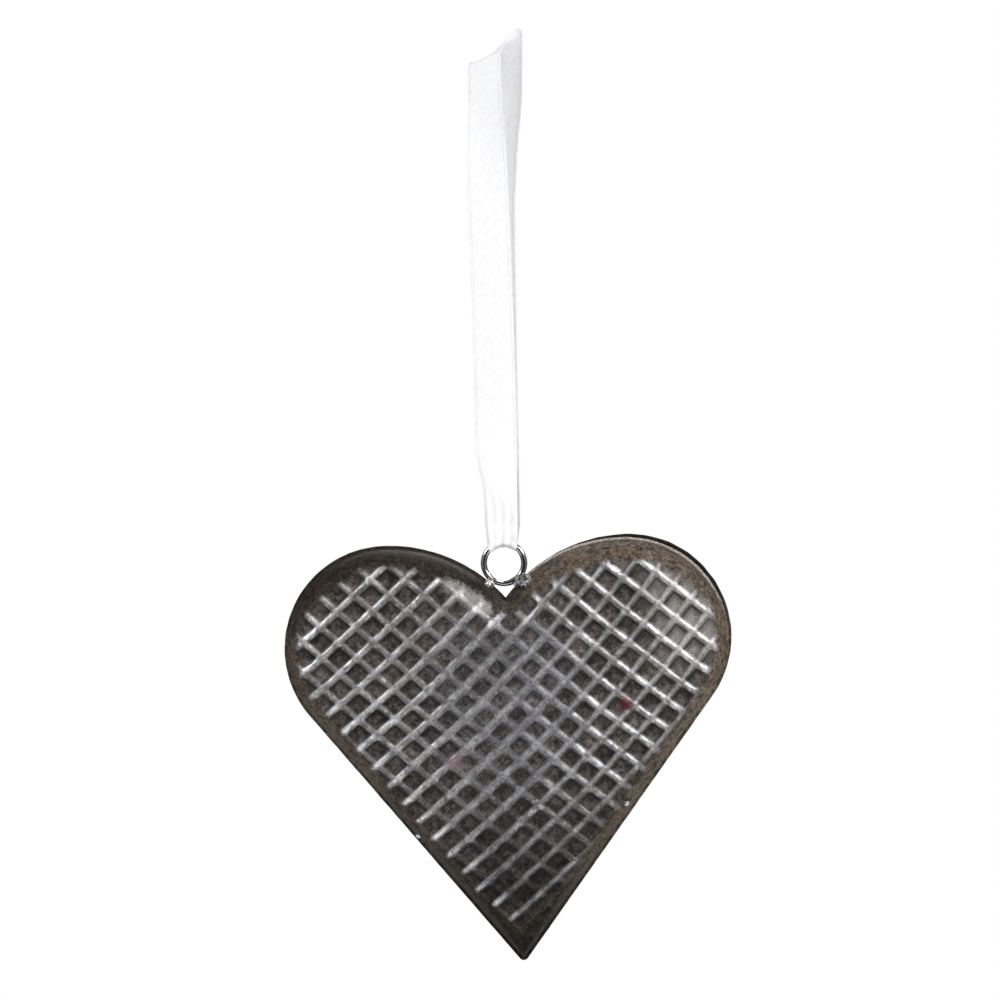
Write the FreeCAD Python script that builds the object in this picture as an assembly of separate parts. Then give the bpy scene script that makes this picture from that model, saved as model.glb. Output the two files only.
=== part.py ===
import FreeCAD, Part
import math
import os
from FreeCAD import Placement, Rotation, Vector

# A hanging heart of pressed tin on a satin ribbon. Millimetres, X right, Y back, Z up.
# The origin is where the ribbon's top bight rests on a hook. The heart's own frame has
# x across, y up its middle line and z out of its face, with zero at the point of the cleft.

# Outline of one pressing. Its second lobe reaches a little less than its first.
lobe_radius = 24.5
lobe_spread = 28.8
cleft_depth = 13.7
heart_length = 87.3
lobe_shortfall = 0.8
tip_radius = 1.2

# Sheet and dome
sheet = 0.35
flange_width = 1.0
dome_height = 9.6
crown_below_cleft = 20.0
crown_reach = 50.0
crown_drop = 3.8
# Each wall level is a share of the band's width inside the flange, and a share of the dome's height
band_width = 7.1
wall_shares = ((0.00, 0.00), (0.09, 0.26), (0.27, 0.50), (0.50, 0.69), (0.72, 0.83), (0.89, 0.93), (1.00, 1.02))
overrun = 0.5
seam_tolerance = 0.0001

# Waffle pressed into the dome
waffle_pitch = 5.4
waffle_rib = 1.6
waffle_depth = 0.7
waffle_draft = 0.3
waffle_margin = 5.4
waffle_slope = 41.5
waffle_across = 1.35
waffle_below_cleft = 35.3

# Ring, solder and tacks
ring_outer_radius = 5.55
ring_wire = 1.5
ring_seat_gap = 0.05
left_solder_size = 2.6
right_solder_size = 4.2
# Balls of each blob: shift out from the ring, shift along the shoulder, rise to the front and radius,
# in shares of its size
left_solder_shares = ((0.14, -0.22, 0.28, 0.46), (0.34, -0.10, 0.70, 0.40))
right_solder_shares = (
    (0.12, 0.04, 0.28, 0.42),
    (0.24, 0.26, 0.48, 0.32),
    (0.08, -0.24, 0.40, 0.30),
    (0.32, 0.06, 0.78, 0.36),
)
tack_radius = 0.6
left_tack_from_tip = 39.5
left_tack_inset = 1.0
right_tack_from_tip = 45.3
right_tack_inset = 2.2

# How the heart hangs
hook_to_ring = 123.1
heart_lean = 2.9

# Ribbon
ribbon_width = 10.0
ribbon_thickness = 0.3
hook_gap = 8.0
bight_drop = 11.0
bight_bend_radius = 1.6
bight_turn = -41.0
hook_share = 0.56
bight_gap = 0.3
crease_above_ring = 9.0
fold_clearance = 0.1
wire_clearance = 0.15
saddle_left_angle = 50.0
saddle_right_angle = 40.0
saddle_width_share = 0.82
saddle_shift_share = -0.03
# Cuts across the bight: place along the width, height of its front bend and of its crest, as shares of the width
bight_shares = ((0.0, -0.38, -0.19), (0.35, -0.31, -0.09), (0.7, -0.19, 0.136), (1.0, -0.05, 0.43))
# Cuts down a strand: share of its drop, turn in degrees, then shares of the ribbon's width for its drift
# across and outwards from the straight line between the bight's leg and the crease, its width and its crown
front_shares = (
    (0.00, -41.0, 0.000, 0.000, 1.00, 0.010),
    (0.12, -27.0, 0.000, 0.000, 1.00, 0.010),
    (0.25, -17.0, -0.018, -0.007, 1.00, 0.010),
    (0.57, -14.5, -0.044, -0.009, 1.00, 0.012),
    (0.76, -10.0, -0.082, -0.013, 1.00, 0.015),
    (0.84, -4.0, -0.106, -0.019, 0.98, 0.030),
    (0.92, 0.0, -0.053, -0.020, 0.78, 0.090),
    (1.00, 0.0, -0.060, 0.000, 0.76, 0.005),
)
back_shares = (
    (0.00, -41.0, 0.000, 0.000, 1.00, 0.010),
    (0.12, -27.0, -0.173, 0.009, 1.00, 0.010),
    (0.25, -17.0, -0.260, 0.020, 1.00, 0.010),
    (0.57, -14.5, -0.206, 0.041, 1.00, 0.012),
    (0.76, -10.0, -0.169, 0.042, 1.00, 0.015),
    (0.84, -4.0, -0.140, 0.034, 0.98, 0.030),
    (0.92, 0.0, -0.025, 0.032, 0.78, 0.090),
    (1.00, 0.0, 0.000, 0.000, 0.76, 0.005),
)
crease_crown_share = 0.005

# Stitched lap that closes the ribbon, on the back strand
lap_from_hook = 62.0
lap_length = 8.0
stitch_count = 6
stitch_length = 0.9
stitch_thread = 0.3
stitch_proud = 0.2
stitch_row_inset = 1.5


def unit(angle):
    """Direction in the heart's plane at an angle in degrees from x."""
    return Vector(math.cos(math.radians(angle)), math.sin(math.radians(angle)), 0)


def angle_of(v):
    return math.degrees(math.atan2(v.y, v.x))


def at_height(point, height):
    return Vector(point.x, point.y, height)


def arc(centre, radius, start, end, height):
    """Arc about a centre from one angle to another, in degrees, at a height."""
    points = [at_height(centre + unit(a) * radius, height) for a in (start, (start + end) / 2, end)]
    return Part.Arc(*points).toShape()


def line(start, end, height):
    return Part.LineSegment(at_height(start, height), at_height(end, height)).toShape()


def lines_meet(point_a, way_a, point_b, way_b):
    """Where two lines in the heart's plane cross."""
    gap = point_b - point_a
    along = (gap.x * way_b.y - gap.y * way_b.x) / (way_a.x * way_b.y - way_a.y * way_b.x)
    return point_a + way_a * along


def circles_meet(centre_a, radius_a, centre_b, radius_b):
    """The upper of the two points where two circles cross."""
    between = centre_b - centre_a
    span = between.Length
    along = (span ** 2 + radius_a ** 2 - radius_b ** 2) / (2 * span)
    across = math.sqrt(max(radius_a ** 2 - along ** 2, 0))
    way = between / span
    upward = Vector(-way.y, way.x, 0) if way.x > 0 else Vector(way.y, -way.x, 0)
    return centre_a + way * along + upward * across


class HalfHeart:
    """One side of the outline: a shoulder arc, a lobe arc and a straight side down to the tip."""

    def __init__(self, side, shortfall):
        pull = shortfall * math.sqrt(1 / 2)
        top = cleft_depth - pull
        reach = lobe_spread - pull
        self.side = side
        self.lobe = Vector(side * reach, top - lobe_radius, 0)
        self.shoulder_radius = (reach ** 2 + top ** 2) / (2 * top)
        self.shoulder = Vector(side * reach, top - self.shoulder_radius, 0)
        from_tip = self.lobe + Vector(0, heart_length, 0)
        spread_angle = math.degrees(math.asin(lobe_radius / from_tip.Length))
        self.side_way = unit(angle_of(from_tip) - side * spread_angle)
        self.outward = Vector(side * self.side_way.y, -side * self.side_way.x, 0)

    def side_start(self, inset):
        return self.lobe + self.outward * (lobe_radius - inset)

    def inset_of(self, point):
        """How far inside the outline a point on this side of the middle line lies."""
        from_side = lobe_radius - (point - self.lobe).dot(self.outward)
        if self.side * (point.x - self.lobe.x) < 0:
            if point.y < self.shoulder.y:
                return from_side
            return min(from_side, self.shoulder_radius - (point - self.shoulder).Length)
        if (point - self.lobe).dot(self.side_way) < 0:
            return from_side
        return min(from_side, lobe_radius - (point - self.lobe).Length)


left_half = HalfHeart(-1, 0)
right_half = HalfHeart(1, lobe_shortfall)


def heart_wire(inset, height):
    """The outline drawn in by an inset, at a height above the seam."""
    left, right = left_half, right_half
    cleft = circles_meet(left.shoulder, left.shoulder_radius - inset, right.shoulder, right.shoulder_radius - inset)
    corner = lines_meet(left.side_start(inset), left.side_way, right.side_start(inset), right.side_way)
    half_tip = (angle_of(left.side_way) - angle_of(right.side_way)) / 2
    cut_back = tip_radius / math.tan(math.radians(half_tip))
    tip_left = corner + left.side_way * cut_back
    tip_right = corner + right.side_way * cut_back
    tip_way = (left.side_way + right.side_way).normalize()
    tip_centre = corner + tip_way * (tip_radius / math.sin(math.radians(half_tip)))
    left_outward = angle_of(left.outward) % 360
    right_outward = angle_of(right.outward)
    edges = [
        arc(left.shoulder, left.shoulder_radius - inset, angle_of(cleft - left.shoulder), 90, height),
        arc(left.lobe, lobe_radius - inset, 90, left_outward, height),
        line(left.side_start(inset), tip_left, height),
        arc(tip_centre, tip_radius, left_outward, right_outward + 360, height),
        line(tip_right, right.side_start(inset), height),
        arc(right.lobe, lobe_radius - inset, right_outward, 90, height),
        arc(right.shoulder, right.shoulder_radius - inset, 90, angle_of(cleft - right.shoulder), height),
    ]
    return Part.Wire(edges)


def crown_radius():
    return (crown_reach ** 2 + crown_drop ** 2) / (2 * crown_drop)


def crown_centre():
    return Vector(0, -crown_below_cleft, dome_height - crown_radius())


def dome(skin):
    """Solid under the pressing's outside, or under its inside when skin is the sheet's thickness."""
    levels = []
    for inset_share, height_share in wall_shares:
        height = sheet - skin + height_share * (dome_height - sheet)
        levels.append(heart_wire(flange_width + skin + inset_share * band_width, height))
    walls = Part.makeLoft(levels, True, True)
    return walls.common(Part.makeSphere(crown_radius() - skin, crown_centre()))


# The ribs rise at the waffle's slope to either side, so its cells are diamonds
rib_ways = (unit(waffle_slope), unit(180 - waffle_slope))
rib_skew = math.sin(math.radians(2 * waffle_slope))
diamond_turns = ((1, 1), (-1, 1), (-1, -1), (1, -1), (1, 1))


def diamond(size, height):
    """Outline of one cell that is a size across from side to side."""
    reach = size / 2 / rib_skew
    corners = [(rib_ways[0] * i + rib_ways[1] * j) * reach for i, j in diamond_turns]
    return Part.makePolygon([at_height(corner, height) for corner in corners])


def cell_tool(skin):
    """Frustum that one waffle cell is pressed with, grown by the sheet's thickness for the inside."""
    mouth = waffle_pitch - waffle_rib + 2 * skin
    floor = mouth - 2 * waffle_draft
    levels = [diamond(mouth, overrun), diamond(mouth, 0), diamond(floor, -waffle_depth - skin)]
    return Part.makeLoft(levels, True, True)


def wall_height(inset):
    """Height of the wall over a place that lies an inset inside the outline."""
    share = (inset - flange_width) / band_width
    for (x0, z0), (x1, z1) in zip(wall_shares, wall_shares[1:]):
        if share <= x1:
            return sheet + (z0 + (z1 - z0) * (share - x0) / (x1 - x0)) * (dome_height - sheet)
    return dome_height + overrun


def crown_height(point):
    away = (point - Vector(0, -crown_below_cleft, 0)).Length
    return crown_centre().z + math.sqrt(crown_radius() ** 2 - away ** 2)


def in_field(point):
    """Whether a corner of a cell lies on the crown, clear of the plain band."""
    half = left_half if point.x < 0 else right_half
    inset = half.inset_of(point)
    return inset > waffle_margin and wall_height(inset) > crown_height(point)


def cell_places():
    """Placement of each waffle cell, square to the dome."""
    rise, fall = rib_ways
    middle = Vector(waffle_across, -waffle_below_cleft, 0)
    step = waffle_pitch / rib_skew
    reach = (waffle_pitch - waffle_rib) / 2 / rib_skew
    count = math.ceil(heart_length / waffle_pitch)
    places = []
    for row in range(-count, count + 1):
        for column in range(-count, count + 1):
            spot = middle + (rise * row + fall * column) * step
            corners = [spot + (rise * i + fall * j) * reach for i, j in diamond_turns]
            if all(in_field(corner) for corner in corners):
                on_dome = at_height(spot, crown_height(spot))
                places.append(Placement(on_dome, Rotation(Vector(0, 0, 1), on_dome - crown_centre())))
    return places


def at_places(shape, places):
    copies = []
    for place in places:
        copy = shape.copy()
        copy.Placement = place
        copies.append(copy)
    return copies


def pressing_block():
    """The pressing with nothing hollowed out, for cutting what sits on it."""
    flange = Part.Face(heart_wire(0, 0)).extrude(Vector(0, 0, sheet))
    return flange.fuse(dome(0))


def on_seam(face):
    return abs(face.BoundBox.ZMax) < seam_tolerance


def pressing(block):
    """Half shell: flange, domed wall and waffled crown in one sheet, open at the seam."""
    places = cell_places()
    outside = block.cut(at_places(cell_tool(0), places))
    inside = dome(sheet).cut(at_places(cell_tool(sheet), places))
    skins = [face for solid in (outside, inside) for face in solid.Faces if not on_seam(face)]
    rims = [face.OuterWire for solid in (outside, inside) for face in solid.Faces if on_seam(face)]
    shell = Part.Shell(skins + [Part.Face(rims)])
    half = Part.Solid(shell)
    half.fix(seam_tolerance, seam_tolerance, seam_tolerance)
    print("waffle cells", len(places))
    return half


def ring_height():
    """Height of the ring's centre above the cleft, seated on both larger shoulders."""
    apart = left_half.shoulder_radius + ring_outer_radius + ring_seat_gap
    return left_half.shoulder.y + math.sqrt(apart ** 2 - left_half.shoulder.x ** 2)


ring_radius = ring_outer_radius - ring_wire / 2
ring_centre = Vector(0, ring_height(), 0)


def biggest(shape):
    return max(shape.Solids, key=lambda solid: solid.Volume)


def ring():
    return Part.makeTorus(ring_radius, ring_wire / 2, ring_centre, Vector(0, 0, 1))


def solder(side, size, ball_shares, neighbours):
    """Blob of solder between the ring and one shoulder."""
    shoulder_centre = Vector(side * abs(left_half.shoulder.x), left_half.shoulder.y, 0)
    out = (shoulder_centre - ring_centre).normalize()
    along = Vector(side * -out.y * side, out.x, 0) * side
    seat = ring_centre + out * ring_outer_radius
    balls = []
    for out_share, along_share, rise_share, radius_share in ball_shares:
        middle = seat + out * (out_share * size) + along * (along_share * size)
        balls.append(Part.makeSphere(radius_share * size, at_height(middle, rise_share * size)))
    blob = balls[0].fuse(balls[1:])
    return biggest(blob.cut(neighbours))


def tack(half, from_tip, inset, block):
    """Small drop of solder on the front, near the seam."""
    way = half.side_way
    spot = Vector(0, -heart_length, 0) + way * from_tip - half.outward * inset
    drop = Part.makeSphere(tack_radius, at_height(spot, wall_height(max(inset, flange_width))))
    return biggest(drop.cut(block))


def heart_place():
    """Placement from the heart's own frame to the hanging ornament."""
    hang = Placement(Vector(0, 0, -hook_to_ring), Rotation(Vector(0, 1, 0), -heart_lean))
    stand = Placement(Vector(0, 0, -ring_centre.y), Rotation(Vector(1, 0, 0), 90))
    return hang.multiply(stand)


def placed(shape, place):
    moved = shape.copy()
    moved.Placement = place.multiply(moved.Placement)
    return moved


def leg_foot(side, width_share):
    """Place on the bight's front (-1) or back (1) leg at a share of its width."""
    shift = bight_bend_radius if side > 0 else bight_bend_radius - hook_gap
    return unit(bight_turn) * ((width_share - hook_share) * ribbon_width) + unit(bight_turn + 90) * shift


def bight_section(width_share, front_share, crest_share):
    """Cut across the bight: up the front leg, over a sloping top with two bends, down the back leg."""
    half = ribbon_thickness / 2
    outer = bight_bend_radius + half
    front_bend = Vector(bight_bend_radius, front_share * ribbon_width - outer, 0)
    crest_bend = Vector(hook_gap - bight_bend_radius, crest_share * ribbon_width - outer, 0)
    slope = angle_of(crest_bend - front_bend)
    foot = -bight_drop
    edges = []
    for radius, order in ((bight_bend_radius + half, 1), (bight_bend_radius - half, -1)):
        front_up = front_bend - Vector(radius, 0, 0)
        front_over = front_bend + unit(90 + slope) * radius
        crest_over = crest_bend + unit(90 + slope) * radius
        back_down = crest_bend + Vector(radius, 0, 0)
        path = [
            line(Vector(front_up.x, foot, 0), front_up, 0),
            arc(front_bend, radius, 180, 90 + slope, 0),
            line(front_over, crest_over, 0),
            arc(crest_bend, radius, 90 + slope, 0, 0),
            line(back_down, Vector(back_down.x, foot, 0), 0),
        ]
        edges += path[::order]
        if order == 1:
            edges.append(line(Vector(hook_gap + half, foot, 0), Vector(hook_gap - half, foot, 0), 0))
    edges.append(line(Vector(half, foot, 0), Vector(-half, foot, 0), 0))
    wire = Part.Wire(Part.__sortEdges__(edges))
    turn = Rotation(unit(bight_turn + 90), Vector(0, 0, 1), Vector(0, 0, 0), "XYZ")
    wire.Placement = Placement(leg_foot(-1, width_share), turn)
    return wire


def bight():
    return Part.makeLoft([bight_section(*row) for row in bight_shares], True, False)


wire_bore = ring_wire / 2 + wire_clearance
crease_height = crease_above_ring - hook_to_ring
crease_half_gap = ribbon_thickness + crease_crown_share * ribbon_width + fold_clearance / 2
strand_top = -bight_drop - bight_gap
strand_foot = crease_height + crease_half_gap


def strand_middle(side, drop_share, across_share, out_share):
    """Middle of a strand's inner face at a share of its drop."""
    height = strand_top + (strand_foot - strand_top) * drop_share
    drift = Vector(across_share * ribbon_width, out_share * ribbon_width, height)
    return leg_foot(side, 1 / 2) * (1 - drop_share) + drift


def strand_section(side, drop_share, turn, across_share, out_share, width_share, crown_share):
    """Level cut across a strand: two shallow arcs and two ends. side is -1 in front and 1 behind."""
    half_width = width_share * ribbon_width / 2
    crown = crown_share * ribbon_width
    inner, outer = 0, side * ribbon_thickness
    corners = [Vector(-half_width, inner, 0), Vector(half_width, inner, 0)]
    corners += [Vector(half_width, outer, 0), Vector(-half_width, outer, 0)]
    edges = [
        Part.Arc(corners[0], Vector(0, inner + side * crown, 0), corners[1]).toShape(),
        Part.LineSegment(corners[1], corners[2]).toShape(),
        Part.Arc(corners[2], Vector(0, outer + side * crown, 0), corners[3]).toShape(),
        Part.LineSegment(corners[3], corners[0]).toShape(),
    ]
    wire = Part.Wire(edges)
    middle = strand_middle(side, drop_share, across_share, out_share)
    wire.Placement = Placement(middle, Rotation(Vector(0, 0, 1), turn))
    return wire


def strand(side, shares):
    return Part.makeLoft([strand_section(side, *row) for row in shares], True, True)


def slab(low, high):
    """Level slab wider than the ribbon's loop, between two heights."""
    size = 4 * ribbon_width
    return Part.makeBox(size, size, high - low, Vector(-size / 2, -size / 2, low))


def back_strand_at(height):
    """Turn of the back strand and the middle of its inner face at a height."""
    share = (height - strand_top) / (strand_foot - strand_top)
    row, following = next(pair for pair in zip(back_shares, back_shares[1:]) if share <= pair[1][0])
    part = (share - row[0]) / (following[0] - row[0])
    turn, across, out = [row[i] + (following[i] - row[i]) * part for i in (1, 2, 3)]
    return turn, strand_middle(1, share, across, out)


def lap(back):
    """The ribbon's other end, lying on the back strand."""
    middle = -lap_from_hook
    piece = back.common(slab(middle - lap_length / 2, middle + lap_length / 2))
    turn, _ = back_strand_at(middle)
    piece.translate(unit(turn + 90) * ribbon_thickness)
    return piece


def stitches(back, back_lap):
    """Two rows of thread through both layers of the lap."""
    threads = []
    depth = 2 * (ribbon_thickness + stitch_proud)
    for row in (-1, 1):
        height = -lap_from_hook + row * (lap_length / 2 - stitch_row_inset)
        turn, inner = back_strand_at(height)
        outer = inner + Vector(0, ribbon_thickness, 0)
        for number in range(stitch_count):
            shift = ((number + 0.5) / stitch_count - 0.5) * ribbon_width
            corner = Vector(shift - stitch_length / 2, -depth / 2, -stitch_thread / 2)
            thread = Part.makeBox(stitch_length, depth, stitch_thread, corner)
            thread.Placement = Placement(outer, Rotation(Vector(0, 0, 1), turn))
            threads.append(thread)
    proud = Part.makeCompound(threads).cut([back, back_lap]).Solids
    least = stitch_length * stitch_thread * stitch_proud / 10
    return Part.makeCompound([solid for solid in proud if solid.Volume > least])


def level_rectangle(width, depth, height):
    middle = saddle_shift_share * ribbon_width
    xs = (middle - width / 2, middle + width / 2)
    ys = (-depth / 2, depth / 2)
    corners = [Vector(xs[i], ys[j], height) for i, j in ((0, 0), (1, 0), (1, 1), (0, 1), (0, 0))]
    return Part.makePolygon(corners)


def saddle_legs():
    """Two layers of ribbon from the crease down to the wire, drawn together at the crease."""
    width = saddle_width_share * ribbon_width
    skin = wire_bore + ribbon_thickness
    top = crease_height - crease_half_gap
    wire_top = ring_radius - hook_to_ring
    bottom = ring_radius * math.cos(math.radians(saddle_left_angle)) - hook_to_ring
    upper = [level_rectangle(width, 2 * ribbon_thickness, top), level_rectangle(width, 2 * skin, wire_top)]
    lower = [level_rectangle(width, 2 * skin, wire_top), level_rectangle(width, 2 * skin, bottom)]
    legs = Part.makeLoft(upper, True, True).fuse(Part.makeLoft(lower, True, True))
    joined = top - 2 * ribbon_thickness
    corners = [(0, joined), (wire_bore, wire_top), (wire_bore, bottom - skin)]
    corners += [(-wire_bore, bottom - skin), (-wire_bore, wire_top), (0, joined)]
    hollow = Part.Face(Part.makePolygon([Vector(-width, y, z) for y, z in corners]))
    core = Part.makeCylinder(ring_radius, 4 * skin, Vector(0, -2 * skin, -hook_to_ring), Vector(0, 1, 0))
    return legs.cut([hollow.extrude(Vector(2 * width, 0, 0)), core])


def saddle_tube():
    """The layer under the wire: half a tube that follows the ring."""
    skin = wire_bore + ribbon_thickness
    level = ring_radius - hook_to_ring

    def place(radius, angle):
        return Vector(0, -radius * math.cos(math.radians(angle)), level - radius * math.sin(math.radians(angle)))

    edges = [
        Part.Arc(place(skin, 0), place(skin, 90), place(skin, 180)).toShape(),
        Part.LineSegment(place(skin, 180), place(wire_bore, 180)).toShape(),
        Part.Arc(place(wire_bore, 180), place(wire_bore, 90), place(wire_bore, 0)).toShape(),
        Part.LineSegment(place(wire_bore, 0), place(skin, 0)).toShape(),
    ]
    section = Part.Face(Part.Wire(edges))
    centre = Vector(0, 0, -hook_to_ring)
    section.rotate(centre, Vector(0, 1, 0), -saddle_left_angle)
    return section.revolve(centre, Vector(0, 1, 0), saddle_left_angle + saddle_right_angle)


def saddle():
    """Turn of the ribbon round the ring's wire."""
    return saddle_legs().fuse(saddle_tube())


def build():
    """Every node of the ornament by name."""
    block = pressing_block()
    half = pressing(block)
    turned = Placement(Vector(0, 0, 0), Rotation(Vector(0, 1, 0), 180))
    wire_ring = ring()
    neighbours = [wire_ring, block, placed(block, turned)]
    in_heart = {
        "front_shell": half,
        "back_shell": placed(half, turned),
        "hanger_ring": wire_ring,
        "ring_solder_left": solder(-1, left_solder_size, left_solder_shares, neighbours),
        "ring_solder_right": solder(1, right_solder_size, right_solder_shares, neighbours),
        "seam_tack_left": tack(left_half, left_tack_from_tip, left_tack_inset, block),
        "seam_tack_right": tack(right_half, right_tack_from_tip, right_tack_inset, block),
    }
    nodes = {name: placed(shape, heart_place()) for name, shape in in_heart.items()}
    nodes["ribbon_bight"] = bight()
    nodes["ribbon_front_strand"] = strand(-1, front_shares)
    back = strand(1, back_shares)
    nodes["ribbon_back_strand"] = back
    nodes["ribbon_lap"] = lap(back)
    nodes["ribbon_stitches"] = stitches(back, nodes["ribbon_lap"])
    nodes["ribbon_saddle"] = saddle()
    return nodes


os.makedirs("parts", exist_ok=True)
for name, shape in build().items():
    shape.exportStep("parts/" + name + ".step")
    print(name, "valid", shape.isValid(), "solids", len(shape.Solids), "volume", round(shape.Volume, 2))
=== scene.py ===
import bmesh
import bpy
import math
from mathutils import Matrix, Vector, noise


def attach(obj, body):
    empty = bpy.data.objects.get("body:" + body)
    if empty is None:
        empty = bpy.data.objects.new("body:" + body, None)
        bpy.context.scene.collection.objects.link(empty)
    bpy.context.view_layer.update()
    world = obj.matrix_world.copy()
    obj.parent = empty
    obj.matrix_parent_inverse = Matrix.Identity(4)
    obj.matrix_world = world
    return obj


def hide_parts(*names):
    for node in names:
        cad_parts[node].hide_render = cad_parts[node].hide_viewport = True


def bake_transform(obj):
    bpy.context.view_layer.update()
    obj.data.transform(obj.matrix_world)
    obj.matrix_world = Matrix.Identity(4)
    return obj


# A heart of pressed tin, hung by a wire ring from a satin ribbon. Metres, X right, Y back, Z up.
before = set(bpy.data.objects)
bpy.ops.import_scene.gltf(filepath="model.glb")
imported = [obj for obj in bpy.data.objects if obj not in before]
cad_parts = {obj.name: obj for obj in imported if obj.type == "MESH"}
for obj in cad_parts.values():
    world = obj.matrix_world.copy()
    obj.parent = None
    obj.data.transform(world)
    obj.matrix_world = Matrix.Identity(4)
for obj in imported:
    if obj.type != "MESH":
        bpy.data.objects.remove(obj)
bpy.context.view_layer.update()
mm = 0.001

# Outline of one pressing, in the heart's own frame: x across, y up from the cleft's point, z out of its face
lobe_radius = 24.5 * mm
lobe_spread = 28.8 * mm
cleft_depth = 13.7 * mm
heart_length = 87.3 * mm
lobe_shortfall = 0.8 * mm
tip_radius = 1.2 * mm

# Sheet, flange and dome
sheet = 0.35 * mm
flange_width = 1.0 * mm
flange_shown = 0.55 * mm
dome_height = 9.6 * mm
crown_below_cleft = 20.0 * mm
crown_reach = 50.0 * mm
crown_drop = 3.8 * mm
band_width = 7.1 * mm
shoulder_blend = 0.9 * mm
# Height of the band's wall over its width, in shares
wall_shares = (
    (0.00, 0.00),
    (0.09, 0.26),
    (0.27, 0.50),
    (0.50, 0.69),
    (0.72, 0.83),
    (0.89, 0.93),
    (1.00, 1.02),
)
wall_easing_shares = (-0.06, -0.03, 0, 0.03, 0.06)
crown_start_share = 0.93
# Rings of the band, from the waffled field out to the rim
band_insets = tuple(inset * mm for inset in (2.1, 1.75, 1.45, 1.15, 0.85, 0.65, 0.52, 0.3, 0.08, 0.0))
field_inset = 2.5 * mm

# Waffle. Rising ribs run up to the right, falling ribs down to the right. Each family has its slope, its
# pitch, the share of a pitch at the field's middle, and how its lines bow over the dome: ribs gained for each
# square centimetre of across squared, across times up, and up squared
field_middle = Vector((0, -36.0 * mm))
rising_ribs = (math.radians(41.7), 5.38 * mm, 0.57, (-0.022, -0.014, -0.015))
falling_ribs = (math.radians(-40.8), 5.47 * mm, 0.24, (-0.009, 0.0, -0.006))
# Half widths of a cell's floor and of its mouth, in pitches, at the lobes and in mid-heart
lobe_cell = (0.26, 0.42)
middle_cell = (0.18, 0.42)
falling_wall_share = 0.012
wall_line_shares = (0.33, 0.67)
pressed_depth = 0.78 * mm
pressed_depth_spread = 0.2
crest_rise = 0.03 * mm
side_margin, top_margin, tip_margin = 2.7 * mm, 4.7 * mm, 1.5 * mm
waffle_fade = 1.7 * mm
ragged_edge = 0.5 * mm
pitches_across = 26
# Ribs that lie lower than the crossings, in shares of a cell's depth
rising_sink_right_share = 0.26
falling_sink_left_share, falling_sink_low_share, falling_sink_middle_share = 0.28, 0.3, 0.1
# Shares of the relief that are lost by the cleft, in the worn middle and low down
cleft_loss_share, middle_loss_share, low_loss_share = 0.35, 0.25, 0.1

# Hand work on the sheet. Waves are a shift that keeps each kind apart, and a fineness in waves to a metre
handmade_wander = 0.3 * mm
fine_wander_share = 0.35
wander_waves, fine_wander_waves = (0, 55), (9, 190)
dent_depth = 0.22 * mm
rim_wobble = 0.16 * mm
wobble_run = 1.2 * mm
lobe_inside = Vector((14.0 * mm, -20.0 * mm))
ragged_waves, depth_waves, dent_waves, wobble_waves = (0, 160), (3, 90), (5, 45), (12, 420)

# Zones of the heart: where each starts, and the run over which it comes to its full
worn_middle = Vector((0, -26.0 * mm))
worn_middle_height_share = 0.7
worn_middle_zone = (6.0 * mm, 24.0 * mm)
low_run = 62.0 * mm
right_zone = (-6.0 * mm, 22.0 * mm)
upper_zone = (-12.0 * mm, 16.0 * mm)
cleft_middle = Vector((0, 4.0 * mm))
cleft_zone = (10.0 * mm, 20.0 * mm)
top_margin_zone = (-6.0 * mm, 14.0 * mm)
tip_margin_zone = (6.0 * mm, 14.0 * mm)
field_edge_zone = (1.0 * mm, 6.0 * mm)
top_edge_zone = (-22.0 * mm, 14.0 * mm)
# The pale zone is a painted reflection: a lighter sheen on the right lobe's upper outside
pale_across_zone, pale_up_zone = (30.0 * mm, 12.0 * mm), (-24.0 * mm, 16.0 * mm)
rim_zone = (0.2 * mm, 0.9 * mm)
wander_zone = (2.6 * mm, 3.0 * mm)

# Wear and painted light and shade that the finish reads from the sheet, each as an attribute from 0 to about
# 1
wear_names = ("worn", "rim", "field", "shade_and_grime", "middle", "low", "rubbed_highlight", "pale", "tone")
# Painted highlight lines on the ribs' lit slopes, in pitches: rise above the crest, and half width, for the
# rising ones low down and high up
rising_line_rise, rising_line_widths = 0.05, (0.16, 0.1)
falling_line_rise, falling_line_width = 0.08, 0.18
# Painted highlights, as shares of the brightest: rising ribs on the left, inside and at the field's edge, on
# the right and along the top edge, then falling ribs on the left and on the right, and along the top edge
rising_highlight_left, rising_highlight_right, rising_highlight_top = (0.55, 1.2), 0.25, 0.4
falling_highlight_sides, falling_highlight_top = (0.1, 0.8), 0.6
# How much the painted highlight differs from stretch to stretch of rib, and the shares that the middle and
# the cleft lose
rising_highlight_spread, falling_highlight_spread = 0.35, 0.6
falling_highlight_mean = 0.75
rising_middle_loss, falling_middle_loss, falling_cleft_loss = 0.5, 0.6, 0.7
inner_low_loss = 0.6
rising_seed_shift, falling_seed_shift = 30, 60
# Tones of the dark tin: the band's low down and high up on each side, painted shade on the left that is
# darkest high up and painted light on the right, its low end's share, and the cells'
left_band_shade, right_band_light = (0.75, 0.25), (1.2, 1.1)
low_band_tone_share = 0.15
cell_tone, cell_tone_spread = 1.1, 0.25
# How dark a sunk cell is and a rising rib on the right, the rim's least painted highlight, and the painted
# shade and grime in the cells
cell_dark, right_rib_dark, least_rim_highlight = 1.3, 0.2, 0.25
shade_and_grime_mean, shade_and_grime_spread, shade_and_grime_middle_loss = 0.85, 0.15, 0.5

# Distances within which points are joined: in a cut, in the band's rings and where the two sides meet
cut_join, ring_join, side_join = 0.0001 * mm, 0.001 * mm, 0.002 * mm

# Ring and solder
ring_outer_radius = 5.55 * mm
ring_wire = 1.5 * mm
ring_radius = ring_outer_radius - ring_wire / 2
ring_seat_gap = 0.05 * mm
left_solder_size = 2.6 * mm
right_solder_size = 4.2 * mm
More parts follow.
